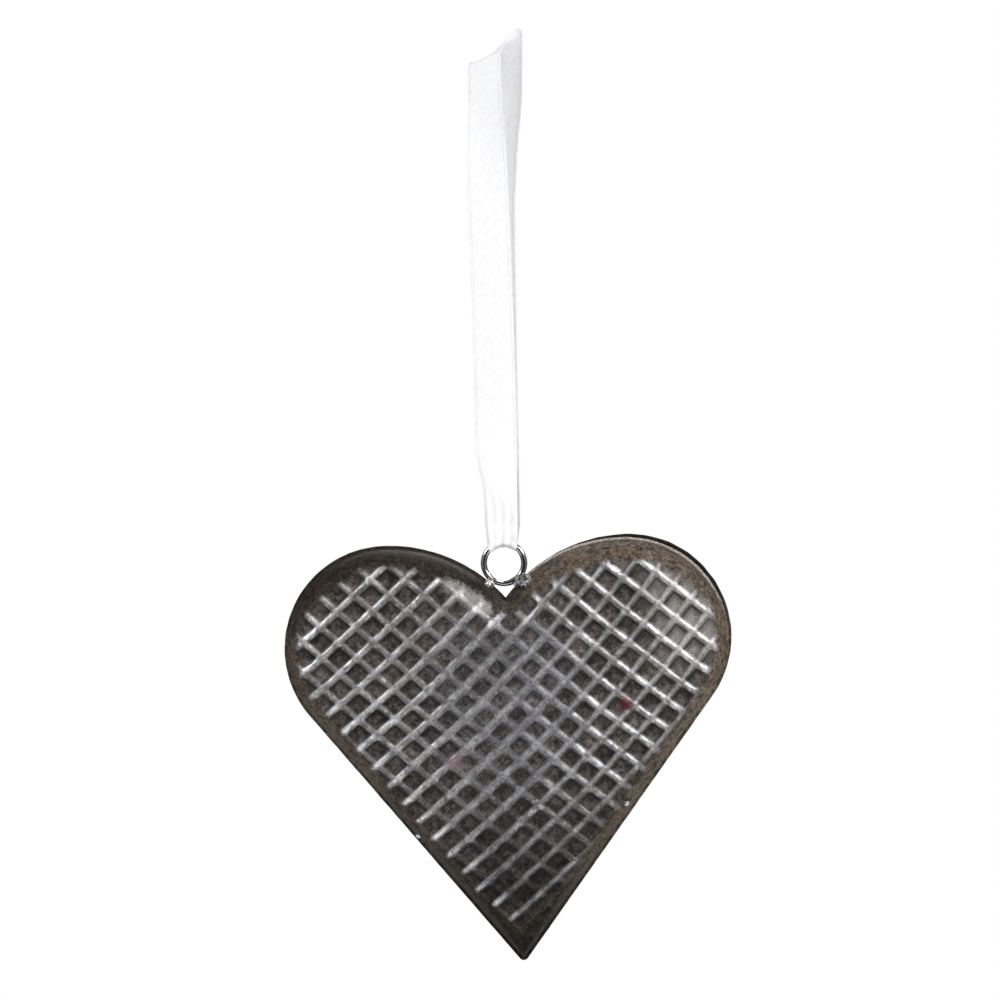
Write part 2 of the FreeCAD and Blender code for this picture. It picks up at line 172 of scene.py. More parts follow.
# Balls of each blob, in its sizes: out from the ring, along the shoulder, to the front, and radius
left_solder_shares = ((0.14, -0.22, 0.28, 0.46), (0.34, -0.10, 0.70, 0.40))
right_solder_shares = (
    (0.12, 0.04, 0.28, 0.42),
    (0.24, 0.26, 0.48, 0.32),
    (0.08, -0.24, 0.40, 0.30),
    (0.32, 0.06, 0.78, 0.36),
)
tack_radius = 0.6 * mm
# Each tack's place: up the side from the tip, and in from the rim
left_tack, right_tack = (39.5 * mm, 1.0 * mm), (45.3 * mm, 2.2 * mm)

# How the heart hangs
hook_to_ring = 123.1 * mm
heart_lean = math.radians(2.9)

# Ribbon
ribbon_width = 10.0 * mm
ribbon_thickness = 0.26 * mm
edge_row = 0.05 * mm
hook_gap = 8.0 * mm
bight_drop = 11.0 * mm
bight_bend_radius = 1.6 * mm
bight_turn = math.radians(-41.0)
hook_share = 0.56
strand_top = -11.3 * mm
strand_foot = -113.7 * mm
seam_share = 0.875
saddle_left_angle = math.radians(50.0)
saddle_right_angle = math.radians(40.0)
pleat_depth = 0.45 * mm
gather_gap = 0.4 * mm
lap_level = -62.0 * mm
lap_length = 8.0 * mm
lap_lift = 0.3 * mm
ripple_depth = 0.12 * mm
wrap_gap = 0.05 * mm
# Lengths of the flat ribbon: over the bight, down one gathered leg and round the wire
bight_run, gathered_leg, wrap_run = 34 * mm, 17 * mm, 2.6 * mm
# Shares of the strips' rows: each strand of the loop, each leg of the gathered end, and where a leg creases
strand_rows_share, leg_rows_share, crease_share = 0.4, 0.42, 0.62
strand_easing_shares = (-0.03, -0.015, 0, 0.015, 0.03)
# Pleats: waves of a height share, a turn over the width and a start. They begin at a share of the way down to
# the crease, and have these shares of their depth at the crease and at mid-leg
pleat_waves = ((1.0, 23, 2.9), (0.5, 7, 2.6))
pleat_start_share = 0.375
crease_pleat_share, leg_pleat_share = 0.48, 0.3
# Where the painted shade in the pleats' valleys fades out, in shares of the gathered strip from its middle
valley_shade_zone = (0.08, 0.13)
# Stitches: how many in a row, half their length, width and depth, and how far they stand off
stitches_in_row = 6
stitch_half_size = (0.45 * mm, 0.13 * mm, 0.15 * mm)
stitch_stand = 0.02 * mm
stitch_from_end = 1.5 * mm
# Cuts across the bight: place along the width, height of its front bend and of its crest, in ribbon widths
bight_shares = ((0.0, -0.38, -0.19), (0.35, -0.31, -0.09), (0.7, -0.19, 0.136), (1.0, -0.05, 0.43))
# Cuts down a strand: share of its drop, turn in degrees, then its middle across, its middle outwards, its
# width and its crown, all four in ribbon widths
front_shares = (
    (0.00, -41.0, -0.465, -0.444, 1.00, 0.010),
    (0.12, -27.0, -0.410, -0.390, 1.00, 0.010),
    (0.25, -17.0, -0.367, -0.340, 1.00, 0.010),
    (0.57, -14.5, -0.244, -0.200, 1.00, 0.012),
    (0.76, -10.0, -0.194, -0.120, 1.00, 0.015),
    (0.84, -4.0, -0.180, -0.090, 0.98, 0.030),
    (0.92, 0.0, -0.090, -0.055, 0.78, 0.090),
    (1.00, 0.0, -0.060, 0.000, 0.76, 0.005),
)
back_shares = (
    (0.00, -41.0, 0.060, 0.160, 1.00, 0.010),
    (0.12, -27.0, -0.120, 0.150, 1.00, 0.010),
    (0.25, -17.0, -0.215, 0.140, 1.00, 0.010),
    (0.57, -14.5, -0.180, 0.110, 1.00, 0.012),
    (0.76, -10.0, -0.155, 0.080, 1.00, 0.015),
    (0.84, -4.0, -0.130, 0.060, 0.98, 0.030),
    (0.92, 0.0, -0.020, 0.045, 0.78, 0.090),
    (1.00, 0.0, 0.000, 0.000, 0.76, 0.005),
)

# View: the photograph is square-on, with this much of the ornament's plane across it
view_width = 238.1 * mm
view_middle = Vector((-0.95 * mm, 0, -108.1 * mm))
camera_distance = 1.5
# Blender gives the film and the lens in millimetres
film_width = 36
floor_radius, floor_level, floor_glow = 0.5, -0.3, 0.45
room_tint, room_light = (0.97, 0.98, 1.0, 1), 0.22
heart_middle = Vector((0, 0, -0.165))
# Soft lamps: place, diameter and power in watts
softboxes = {
    "left_softbox": ((-0.34, -0.19, 0.1), 0.15, 0.85),
    "right_softbox": ((0.37, -0.19, 0.13), 0.15, 1.3),
    "top_softbox": ((0.15, -0.4, 0.5), 0.25, 1.3),
    "front_softbox": ((0.42, -0.9, 0.22), 0.3, 1.9),
    "back_softbox": ((0.1, 0.9, 0.4), 0.6, 7.0),
}


def smooth(share):
    share = min(max(share, 0.0), 1.0)
    return share * share * (3 - 2 * share)


def between(low, high, share):
    return low + (high - low) * share


def past(value, start, run):
    """0 up to a start, eased to 1 over a run beyond it."""
    return smooth((value - start) / run)


def read_shares(rows, column, share):
    """Value of a column of a table of cuts at a share of its first column."""
    for row, following in zip(rows, rows[1:]):
        if share <= following[0]:
            return between(row[column], following[column], (share - row[0]) / (following[0] - row[0]))
    return rows[-1][column]


# The outline and the dome

lobe = Vector((lobe_spread, cleft_depth - lobe_radius))
shoulder_radius = (lobe_spread ** 2 + cleft_depth ** 2) / (2 * cleft_depth)
shoulder = Vector((lobe_spread, cleft_depth - shoulder_radius))
from_tip = lobe + Vector((0, heart_length))
side_angle = math.atan2(from_tip.y, from_tip.x) - math.asin(lobe_radius / from_tip.length)
side_way = Vector((math.cos(side_angle), math.sin(side_angle)))
outward_angle = side_angle - math.pi / 2
outward = Vector((math.cos(outward_angle), math.sin(outward_angle)))
upright = math.pi / 2


def turned(centre, radius, angle):
    return centre + Vector((math.cos(angle), math.sin(angle))) * radius


def angle_about(centre, point):
    return math.atan2(point.y - centre.y, point.x - centre.x)


def cleft_angle(inset):
    return math.acos(-lobe_spread / (shoulder_radius - inset))


def tip_centre(inset):
    rise = (lobe_radius + lobe_spread * outward.x - inset - tip_radius) / outward.y
    return Vector((0, lobe.y + rise))


def outline_place(stretch, share, inset):
    """Point of the right half's outline, drawn in by an inset, at a share of one of its four stretches."""
    if stretch == "shoulder":
        return turned(shoulder, shoulder_radius - inset, between(upright, cleft_angle(inset), share))
    if stretch == "lobe":
        return turned(lobe, lobe_radius - inset, between(upright, outward_angle, share))
    if stretch == "side":
        start = lobe + outward * (lobe_radius - inset)
        return start - side_way * ((lobe - tip_centre(inset)).dot(side_way) * share)
    return turned(tip_centre(inset), tip_radius, between(outward_angle, -upright, share))


def outline_share(point, inset):
    """Stretch and share at which a point of the drawn-in outline lies."""
    tip = tip_centre(inset)
    if (point - tip).dot(side_way) < 0:
        return "tip", (angle_about(tip, point) - outward_angle) / (-upright - outward_angle)
    if (point - lobe).dot(side_way) < 0 and (point - lobe).dot(outward) > 0:
        return "side", (lobe - point).dot(side_way) / (lobe - tip).dot(side_way)
    if point.x > lobe.x:
        return "lobe", (upright - angle_about(lobe, point)) / (upright - outward_angle)
    return "shoulder", (angle_about(shoulder, point) - upright) / (cleft_angle(inset) - upright)


def inset_of(point):
    """How far inside the outline a point of either half lies."""
    point = Vector((abs(point.x), point.y))
    from_side = lobe_radius - (point - lobe).dot(outward)
    if point.x * shoulder.y - point.y * shoulder.x > 0:
        return min(from_side, point.length)
    if point.x < lobe.x:
        if point.y < shoulder.y:
            return from_side
        return min(from_side, shoulder_radius - (point - shoulder).length)
    if (point - lobe).dot(side_way) < 0:
        return from_side
    return min(from_side, lobe_radius - (point - lobe).length)


def wall_height(inset):
    share = (inset - flange_shown) / (band_width + flange_width - flange_shown)
    if share <= 0:
        return sheet
    if share > crown_start_share:
        return sheet + (read_shares(wall_shares, 1, share) + max(share - 1, 0)) * (dome_height - sheet)
    reads = [read_shares(wall_shares, 1, max(share + shift, 0)) for shift in wall_easing_shares]
    return sheet + sum(reads) / len(reads) * smooth(share / wall_easing_shares[-1]) * (dome_height - sheet)


def dome_at(point, inset):
    """Height of the dome's outside: the band's wall, eased into the crown."""
    crown_radius = (crown_reach ** 2 + crown_drop ** 2) / (2 * crown_drop)
    away = (point - Vector((0, -crown_below_cleft))).length
    crown = dome_height - crown_radius + math.sqrt(crown_radius ** 2 - away ** 2)
    wall = wall_height(inset)
    nearness = max(shoulder_blend - abs(wall - crown), 0) / shoulder_blend
    return min(wall, crown) - nearness ** 2 * shoulder_blend / 4


# The heart's two pressings

shoulder_to_ring = shoulder_radius + ring_outer_radius + ring_seat_gap
ring_height = shoulder.y + math.sqrt(shoulder_to_ring ** 2 - lobe_spread ** 2)
ring_centre = Vector((0, ring_height, 0))
heart_place = (
    Matrix.Translation((0, 0, -hook_to_ring))
    @ Matrix.Rotation(-heart_lean, 4, "Y")
    @ Matrix.Translation((0, 0, -ring_height))
    @ Matrix.Rotation(math.pi / 2, 4, "X")
)


def across_ribs(slope):
    return Vector((-math.sin(slope), math.cos(slope)))


def ribs_at(point, ribs):
    """Ribs of one family counted from the field's middle to a point. Whole numbers lie on the crests."""
    slope, pitch, start, bow = ribs
    away = (point - field_middle) / (10 * mm)
    bowing = bow[0] * away.x ** 2 + bow[1] * away.x * away.y + bow[2] * away.y ** 2
    return start + across_ribs(slope).dot(point - field_middle) / pitch + bowing


rib_counts = Matrix([across_ribs(ribs[0]) / ribs[1] for ribs in (rising_ribs, falling_ribs)])
place_of_counts = rib_counts.inverted()


def lattice_place(rising, falling):
    """Point of the field at given counts of rising and falling ribs."""
    point = field_middle.copy()
    for _ in range(6):
        missing = Vector((rising - ribs_at(point, rising_ribs), falling - ribs_at(point, falling_ribs)))
        point = point + place_of_counts @ missing
    return point


def in_middle(point):
    """1 where the waffle is worn soft in the middle of the heart, 0 at the lobes and the tip."""
    away = point - worn_middle
    return 1 - past(Vector((away.x, away.y * worn_middle_height_share)).length, *worn_middle_zone)


def cell_shares(point):
    """Half widths of a cell's floor and of its mouth, in pitches."""
    middle = in_middle(point)
    return [between(at_lobe, soft, middle) for at_lobe, soft in zip(lobe_cell, middle_cell)]


def waffle_grid():
    """Flat grid whose lines lie along the ribs' crests and at the edges of the cells."""
    lines_to_pitch = 10
    count = pitches_across * lines_to_pitch
    bm = bmesh.new()
    bmesh.ops.create_grid(bm, x_segments=count, y_segments=count, size=1)
    for vert in bm.verts:
        steps = [round((value + 1) / 2 * count) for value in vert.co.xy]
        cells = [divmod(step, lines_to_pitch) for step in steps]
        middles = [whole - pitches_across / 2 + 0.5 for whole, _ in cells]
        nominal = field_middle + place_of_counts @ Vector((middles[1], middles[0]))
        floor, mouth = cell_shares(nominal)
        inner = [floor] + [between(floor, mouth, share) for share in wall_line_shares] + [mouth]
        lines = [-0.5] + [-step for step in reversed(inner)] + [0] + inner
        falling, rising = [middle + lines[part] for middle, (_, part) in zip(middles, cells)]
        spot = lattice_place(rising, falling)
        vert.co = (spot.x, spot.y, 0)
    return bm


def cut(bm, point, way):
    """Cut away what lies beyond a plane."""
    bmesh.ops.bisect_plane(
        bm,
        geom=bm.verts[:] + bm.edges[:] + bm.faces[:],
        dist=cut_join,
        plane_co=(point.x, point.y, 0),
        plane_no=(way.x, way.y, 0),
        clear_outer=True,
    )


def cut_to_half(bm, side):
    """Trim the grid to the field of one half, inside the plain band."""
    cut(bm, Vector((0, 0)), Vector((-side, 0)))
    cuts = [(outline_place("side", 0.5, field_inset), outward)]
    rounds = (("shoulder", shoulder, 22), ("lobe", lobe, 54), ("tip", tip_centre(field_inset), 8))
    for stretch, centre, number in rounds:
        for step in range(number + 1):
            place = outline_place(stretch, step / number, field_inset)
            cuts.append((place, (place - centre).normalized()))
    for place, way in cuts:
        cut(bm, Vector((side * place.x, place.y)), Vector((side * way.x, way.y)))


def add_band(bm):
    """Grow the field's edge outwards, ring by ring, to the rim."""
    inset_before = field_inset
    for inset in band_insets:
        edge = [e for e in bm.edges if e.is_boundary]
        grown = bmesh.ops.extrude_edge_only(bm, edges=edge)["geom"]
        for vert in [v for v in grown if isinstance(v, bmesh.types.BMVert)]:
            side = -1 if vert.co.x < 0 else 1
            stretch, share = outline_share(Vector((abs(vert.co.x), vert.co.y)), inset_before)
            place = outline_place(stretch, min(max(share, 0), 1), inset)
            vert.co = (side * place.x, place.y, 0)
        bmesh.ops.remove_doubles(bm, verts=bm.verts, dist=ring_join)
        inset_before = inset


def from_cell_middle(count):
    """How far from the middle of a cell a count of ribs lies, in pitches, positive above it."""
    return count % 1 - 0.5


def pressed(distance, floor, mouth):
    """1 on the floor of a cell and 0 on the rib beside it."""
    return 1 - smooth((distance - floor) / (mouth - floor))


def crest(distance, mouth):
    """0 at a cell's mouth and 1 on the crest of the rib."""
    share = min(max((distance - mouth) / (0.5 - mouth), 0), 1)
    return 1 - (1 - share) ** 2


def shade_and_grime(offset, floor, mouth):
    """Painted shade, with some patina, at the foot of a cell's wall, most of it under the rib above the cell,
    where light from above leaves shade, and a soft painted shadow over the cell's upper part.
    """
    foot_share, foot_width, below_share, shadow_share = 0.4, 0.1, 0.35, 0.55
    line = 1 - smooth(abs(abs(offset) - between(floor, mouth, foot_share)) / foot_width)
    if offset < 0:
        return line * below_share
    return max(line, shadow_share * smooth(offset / floor) if offset < mouth else 0)


def highlight_line(offset, rise, half_width):
    """Line of painted highlight along a rib, a little above its crest."""
    above_crest = offset + 0.5 if offset < 0 else offset - 0.5
    return 1 - smooth(abs(above_crest - rise) / half_width)


def uneven_at(rising, falling, seed):
    """Unevenness of one cell or one stretch of rib, -1 to 1, from its whole place in the lattice."""
    # The step and the shifts keep clear of whole numbers, where this noise is always 0
    step, gain = 1.73, 2.4
    value = noise.noise(Vector((rising * step + 0.31, falling * step + 0.47, seed + 0.5)))
    return min(max(value * gain, -1), 1)


class SheetSpot:
    """A point of the flat sheet, its place in the waffle, and how far each zone of the heart reaches it."""

    def __init__(self, point, seed):
        self.point, self.seed = point, seed
        self.inset = inset_of(point)
        self.rising, self.falling = ribs_at(point, rising_ribs), ribs_at(point, falling_ribs)
        self.off_rising, self.off_falling = from_cell_middle(self.rising), from_cell_middle(self.falling)
        self.floor, self.mouth = cell_shares(point)
        self.over_rising = pressed(abs(self.off_rising), self.floor, self.mouth)
        falling_edges = [edge + falling_wall_share for edge in (self.floor, self.mouth)]
        self.over_falling = pressed(abs(self.off_falling), *falling_edges)
        self.soft = in_middle(point)
        self.low = 1 - past(point.y, -heart_length, low_run)
        self.right = past(point.x, *right_zone)
        self.up = past(point.y, *upper_zone)
        self.by_cleft = 1 - past((point - cleft_middle).length, *cleft_zone)
        self.margin = between(side_margin, top_margin, past(point.y, *top_margin_zone))
        self.margin += tip_margin * (1 - past(point.y + heart_length, *tip_margin_zone))
        self.fade = past(self.inset + self.uneven(*ragged_waves) * ragged_edge, self.margin, waffle_fade)

    def wave_place(self, shift, fineness):
        return Vector((self.point.x, self.point.y, self.seed + shift)) * fineness

    def uneven(self, shift, fineness):
        """Smooth unevenness over the sheet, -1 to 1."""
        return noise.noise(self.wave_place(shift, fineness))

    def drift(self, shift, fineness):
        """Smooth sideways drift over the sheet, each way -1 to 1."""
        return noise.noise_vector(self.wave_place(shift, fineness)).xy

    def sunk(self):
        """1 on a cell's floor, 0 on the highest ribs."""
        rising_sink = rising_sink_right_share * self.right
        falling_sink = falling_sink_left_share * (1 - self.right)
        falling_sink += falling_sink_low_share * self.low + falling_sink_middle_share * self.soft
        cell = self.over_rising * self.over_falling
        along_falling = (1 - self.over_falling) * self.over_rising * falling_sink
        return cell + along_falling + (1 - self.over_rising) * self.over_falling * rising_sink


def height_at(spot):
    """Height of the sheet's outside: the dome with its dents, and the waffle pressed into it."""
    round_top = max(crest(abs(spot.off_rising), spot.mouth), crest(abs(spot.off_falling), spot.mouth))
    lost = cleft_loss_share * spot.by_cleft + middle_loss_share * spot.soft + low_loss_share * spot.low
    depth = pressed_depth * (1 + pressed_depth_spread * spot.uneven(*depth_waves))
    relief = (round_top * crest_rise - spot.sunk() * depth - crest_rise) * (1 - lost) * spot.fade
    dent = (0.5 + 0.5 * spot.uneven(*dent_waves)) * dent_depth
    return dome_at(spot.point, spot.inset) + relief - dent * past(spot.inset, flange_width, band_width)


def handmade_place(spot):
    """Where hand work leaves a spot: lines wander, the right lobe falls short and the rim wobbles."""
    drift = spot.drift(*wander_waves) + spot.drift(*fine_wander_waves) * fine_wander_share
    place = spot.point + drift * (handmade_wander * past(spot.inset, *wander_zone))
    if place.x > 0:
        pulled = smooth(place.x / lobe_spread) * (place.y + heart_length) / (lobe.y + heart_length)
        place -= Vector((1, 1)) * lobe_shortfall * math.sqrt(0.5) * pulled
    inward = (Vector((math.copysign(lobe_inside.x, place.x), lobe_inside.y)) - place).normalized()
    wobble = rim_wobble * (0.5 + 0.5 * spot.uneven(*wobble_waves))
    return place + inward * (wobble * (1 - smooth(spot.inset / wobble_run)))


def rubbed_highlight_at(spot):
    """Painted highlight on the ribs, on the slopes that face the side lamps: rising ones mostly on the left,
    falling ones on the right.
    """
    right, soft, low = spot.right, spot.soft, spot.low
    near_edge = 1 - past(spot.inset - spot.margin, *field_edge_zone)
    top_edge = near_edge * past(spot.point.y, *top_edge_zone) * (1 - spot.by_cleft)
    rising = (1 - right) * between(*rising_highlight_left, near_edge) * (1 - rising_middle_loss * soft)
    rising *= 1 - low * (1 - inner_low_loss * near_edge)
    rising += rising_highlight_right * right + rising_highlight_top * top_edge
    falling = spot.over_rising * between(*falling_highlight_sides, right) * (1 - falling_middle_loss * soft)
    falling = falling * max(1 - 2 * low, 0) + falling_highlight_top * top_edge
    rising_uneven = uneven_at(round(spot.rising), math.floor(spot.falling), spot.seed + rising_seed_shift)
    falling_uneven = uneven_at(math.floor(spot.rising), round(spot.falling), spot.seed + falling_seed_shift)
    rising *= 1 + rising_highlight_spread * rising_uneven
    falling *= falling_highlight_mean + falling_highlight_spread * falling_uneven
    falling *= 1 - falling_cleft_loss * spot.by_cleft
    rising *= highlight_line(spot.off_rising, rising_line_rise, between(*rising_line_widths, spot.up))
    falling *= highlight_line(spot.off_falling, falling_line_rise, falling_line_width)
    return min(max(rising, falling), 1)


def wear_at(spot):
    """Wear, and painted light and shade, of a spot, in the order of its names."""
    cell_uneven = uneven_at(math.floor(spot.rising), math.floor(spot.falling), spot.seed)
    worn = max(1 - cell_dark * spot.sunk() - right_rib_dark * spot.right * (1 - spot.over_rising), 0)
    # Painted highlight along the rim, brightest at the upper right where the lamps catch it, over a little
    # edge wear all round
    rim = (1 - past(spot.inset, *rim_zone)) * between(least_rim_highlight, 1, spot.right * spot.up)
    # Painted shade with some patina under the ribs, stronger on each cell's upper side as if lit from above
    under_rising = shade_and_grime(spot.off_rising, spot.floor, spot.mouth) * spot.over_falling
    under_falling = shade_and_grime(spot.off_falling, spot.floor, spot.mouth) * spot.over_rising
    shade_and_dirt = max(under_rising, under_falling) * (shade_and_grime_mean - shade_and_grime_spread * cell_uneven)
    shade_and_dirt *= 1 - shade_and_grime_middle_loss * spot.soft
    # Painted reflection, a pale sheen, over the right lobe's upper outside
    pale = past(spot.point.x, *pale_across_zone) * past(spot.point.y, *pale_up_zone)
    # Painted shade on the band's left, darkest at the top left, and painted light on its right; darker
    # towards the bottom
    band_light_and_shade = between(between(*left_band_shade, spot.up), between(*right_band_light, spot.up), spot.right)
    band_light_and_shade *= between(1, low_band_tone_share, spot.low)
    tone = between(band_light_and_shade, cell_tone + cell_tone_spread * cell_uneven, spot.fade)
    worn, shade_and_dirt, rubbed_highlight, pale = [spot.fade * share for share in (worn, shade_and_dirt, rubbed_highlight_at(spot), pale)]
    return worn, rim, spot.fade, shade_and_dirt, spot.soft, spot.low, rubbed_highlight, pale, tone


def press(bm, seed):
    """Raise the flat sheet into the dome, sink the waffle's cells and keep where the tin has worn and where
    light and shade are painted.
    """
    layers = [bm.verts.layers.float.new(name) for name in wear_names]
    for vert in bm.verts:
        spot = SheetSpot(vert.co.xy, seed)
        for layer, value in zip(layers, wear_at(spot)):
            vert[layer] = value
        vert.co = (*handmade_place(spot), height_at(spot))


def pressing(name, grid, place, seed, material):
    """One half of the heart: plain band and waffled field in one sheet."""
    bm = bmesh.new()
    for side in (-1, 1):
        half = grid.copy()
        cut_to_half(half, side)
        mesh = bpy.data.meshes.new(name + "_half")
        half.to_mesh(mesh)
        half.free()
        bm.from_mesh(mesh)
        bpy.data.meshes.remove(mesh)
    bmesh.ops.remove_doubles(bm, verts=bm.verts, dist=side_join)
    add_band(bm)
    press(bm, seed)
    bmesh.ops.dissolve_degenerate(bm, dist=ring_join, edges=bm.edges)
    bmesh.ops.recalc_face_normals(bm, faces=bm.faces)
    if sum(face.normal.z for face in bm.faces) < 0:
        bmesh.ops.reverse_faces(bm, faces=bm.faces)
    bm.transform(place)
    piece = as_piece(name, bm, material)
    thicken(piece, sheet, -1)
    return piece


def as_piece(name, bm, *materials):
    """Object at the origin from a finished bmesh, smooth-shaded."""
    for face in bm.faces:
        face.smooth = True
    mesh = bpy.data.meshes.new(name)
    bm.to_mesh(mesh)
    bm.free()
    for material in materials:
        mesh.materials.append(material)
    piece = bpy.data.objects.new(name, mesh)
    bpy.context.scene.collection.objects.link(piece)
    return piece


def thicken(piece, thickness, offset):
    wall = piece.modifiers.new("sheet", "SOLIDIFY")
    wall.thickness = thickness
    wall.offset = offset
    wall.use_even_offset = False


# Node helpers and shared effects

def add_node(tree, kind, settings=(), **inputs):
    """Node with settings as (name, value) pairs, and inputs by name with spaces as underscores."""
    node = tree.nodes.new(kind)
    for setting, value in settings:
        setattr(node, setting, value)
    for label, value in inputs.items():
        connect(tree, value, node.inputs[label.replace("_", " ")])
    return node


def connect(tree, value, socket):
    if isinstance(value, bpy.types.NodeSocket):
        tree.links.new(value, socket)
    else:
        socket.default_value = value


def maths(tree, operation, first, second=0.0, third=None, clamp=False):
    node = tree.nodes.new("ShaderNodeMath")
    node.operation = operation
    node.use_clamp = clamp
    connect(tree, first, node.inputs[0])
    connect(tree, second, node.inputs[1])
    if third is not None:
        connect(tree, third, node.inputs[2])
    return node.outputs[0]


def ramp(tree, value, low, high, to_low=0.0, to_high=1.0):
    """Value spread from low..high to another range, clamped and eased."""
    node = add_node(tree, "ShaderNodeMapRange", (("interpolation_type", "SMOOTHSTEP"),))
    given = {"Value": value, "From Min": low, "From Max": high, "To Min": to_low, "To Max": to_high}
    for label, amount in given.items():
        connect(tree, amount, node.inputs[label])
    return node.outputs["Result"]


def product(tree, *values):
    """Values multiplied together."""
    result = values[0]
    for value in values[1:]:
        result = maths(tree, "MULTIPLY", result, value)
    return result


def straight(tree, value, slope, start, clamp=False):
    """Value times a slope, with a start added."""
    return maths(tree, "MULTIPLY_ADD", value, slope, start, clamp)


def left_of_one(tree, value):
    return maths(tree, "SUBTRACT", 1.0, value)


def times(tree, colour, value):
    """Colour made lighter or darker by a value."""
    grey = add_node(tree, "ShaderNodeCombineXYZ", X=value, Y=value, Z=value).outputs[0]
    return mix(tree, 1.0, colour, grey, "MULTIPLY")


def mix(tree, share, first, second, blend="MIX"):
    node = tree.nodes.new("ShaderNodeMix")
    node.data_type = "RGBA"
    node.blend_type = blend
    node.clamp_factor = True
    connect(tree, share, node.inputs["Factor"])
    connect(tree, first, node.inputs[6])
    connect(tree, second, node.inputs[7])
    return node.outputs[2]


def blotches(tree, vector, scale, detail=3.0, roughness=0.6):
    settings = {"Scale": scale, "Detail": detail, "Roughness": roughness}
    return add_node(tree, "ShaderNodeTexNoise", Vector=vector, **settings).outputs["Fac"]


def object_place(tree):
    return add_node(tree, "ShaderNodeTexCoord").outputs["Object"]


def mapped(tree, vector, **settings):
    """Vector turned or stretched about the origin."""
    return add_node(tree, "ShaderNodeMapping", Vector=vector, **settings).outputs[0]


def attribute(tree, name):
    return add_node(tree, "ShaderNodeAttribute", (("attribute_name", name),)).outputs["Fac"]


def start_group(name, inputs, outputs):
    group = bpy.data.node_groups.new(name, "ShaderNodeTree")
    for label, kind, value in inputs:
        group.interface.new_socket(name=label, in_out="INPUT", socket_type=kind).default_value = value
    for label, kind in outputs:
        group.interface.new_socket(name=label, in_out="OUTPUT", socket_type=kind)
    return group, group.nodes.new("NodeGroupInput").outputs, group.nodes.new("NodeGroupOutput").inputs


def use_group(tree, group, **inputs):
    node = tree.nodes.new("ShaderNodeGroup")
    node.node_tree = group
    for label, value in inputs.items():
        connect(tree, value, node.inputs[label.replace("_", " ")])
    return node.outputs


def start_material(name, **inputs):
    material = bpy.data.materials.new(name)
    material.use_nodes = True
    tree = material.node_tree
    shader = tree.nodes["Principled BSDF"]
    for label, value in inputs.items():
        shader.inputs[label.replace("_", " ")].default_value = value
    return material, tree, shader.inputs


def bump(tree, height, distance, strength=1.0):
    node = add_node(tree, "ShaderNodeBump", Strength=strength, Distance=distance, Height=height)
    return node.outputs["Normal"]


def srgb(red, green, blue):
    """Linear colour from the red, green and blue of a screen colour out of 255."""
    linear = [((c / 255 + 0.055) / 1.055) ** 2.4 if c > 10 else c / 255 / 12.92 for c in (red, green, blue)]
    return (*linear, 1.0)


def make_scratches():
    """Fine straight scratches in two diagonal directions. Density is how many show."""
    group, given, put = start_group(
        "handling_scratches", (("Density", "NodeSocketFloat", 0.5),), (("Mask", "NodeSocketFloat"),)
    )
    place = object_place(group)
    edge = maths(group, "SUBTRACT", 0.72, product(group, given["Density"], 0.2))
    edge_softness, shortening = 0.1, 0.022
    masks = []
    for angle, fineness in ((44, 3600), (-47, 4200)):
        turned_place = mapped(group, place, Rotation=(0, math.radians(-angle), 0))
        lines = blotches(group, mapped(group, turned_place, Scale=(shortening, 1, 1)), fineness)
        patches = blotches(group, place, 90.0 + angle)
        line = ramp(group, lines, edge, maths(group, "ADD", edge, edge_softness))
        masks.append(product(group, line, ramp(group, patches, 0.35, 0.65)))
    group.links.new(maths(group, "MAXIMUM", *masks), put["Mask"])
    return group


def make_mottling():
    """Cloudy patches with grain in them, for old tin and solder. Size is the patches' scale."""
    outputs = (("Mask", "NodeSocketFloat"), ("Grain", "NodeSocketFloat"))
    group, given, put = start_group("mottling", (("Size", "NodeSocketFloat", 300.0),), outputs)
    place = object_place(group)
    patches = blotches(group, place, given["Size"], 6.0, 0.68)
    grain = blotches(group, place, product(group, given["Size"], 4.0), roughness=0.7)
    group.links.new(ramp(group, patches, 0.35, 0.65), put["Mask"])
    group.links.new(grain, put["Grain"])
    return group


def spot_mask(tree, place, middle, radius):
    """1 in a ragged round spot about a point, fading to 0 at its radius."""
    away = add_node(tree, "ShaderNodeVectorMath", (("operation", "DISTANCE"),))
    connect(tree, place, away.inputs[0])
    away.inputs[1].default_value = middle
    fineness, raggedness, solid_share = 700.0, 1.2, 0.35
    rough = blotches(tree, place, fineness, 4.0)
    evened = maths(tree, "SUBTRACT", away.outputs["Value"], radius * raggedness / 2)
    return ramp(tree, straight(tree, rough, radius * raggedness, evened), radius, radius * solid_share)


# Colours of the tin: unrubbed, in the cells and on the ribs, then of what lies over them, among them a
# painted sheen, painted highlights and painted shade
patina_black, patina_brown, patina_fleck = srgb(12, 9, 7), srgb(74, 62, 51), srgb(128, 115, 101)
cell_brown, cell_middle, cell_low = srgb(44, 40, 37), srgb(48, 45, 46), srgb(10, 9, 8)
rib_grey, rib_middle, rib_low = srgb(122, 120, 118), srgb(116, 115, 121), srgb(46, 45, 52)
cell_fleck, rib_streak = srgb(110, 104, 99), srgb(206, 205, 205)
pale_sheen, highlight_white, shade_and_soot = srgb(196, 190, 184), srgb(240, 240, 243), srgb(6, 5, 5)
rim_highlight, brush_grey = srgb(196, 190, 182), srgb(176, 175, 177)
# Finenesses of the tin's patterns, in waves to a metre
cloud_fineness, speck_fineness, sand_fineness = 150.0, 850.0, 2600.0
cell_fineness, streak_fineness, highlight_fineness = 330.0, 520.0, 420.0


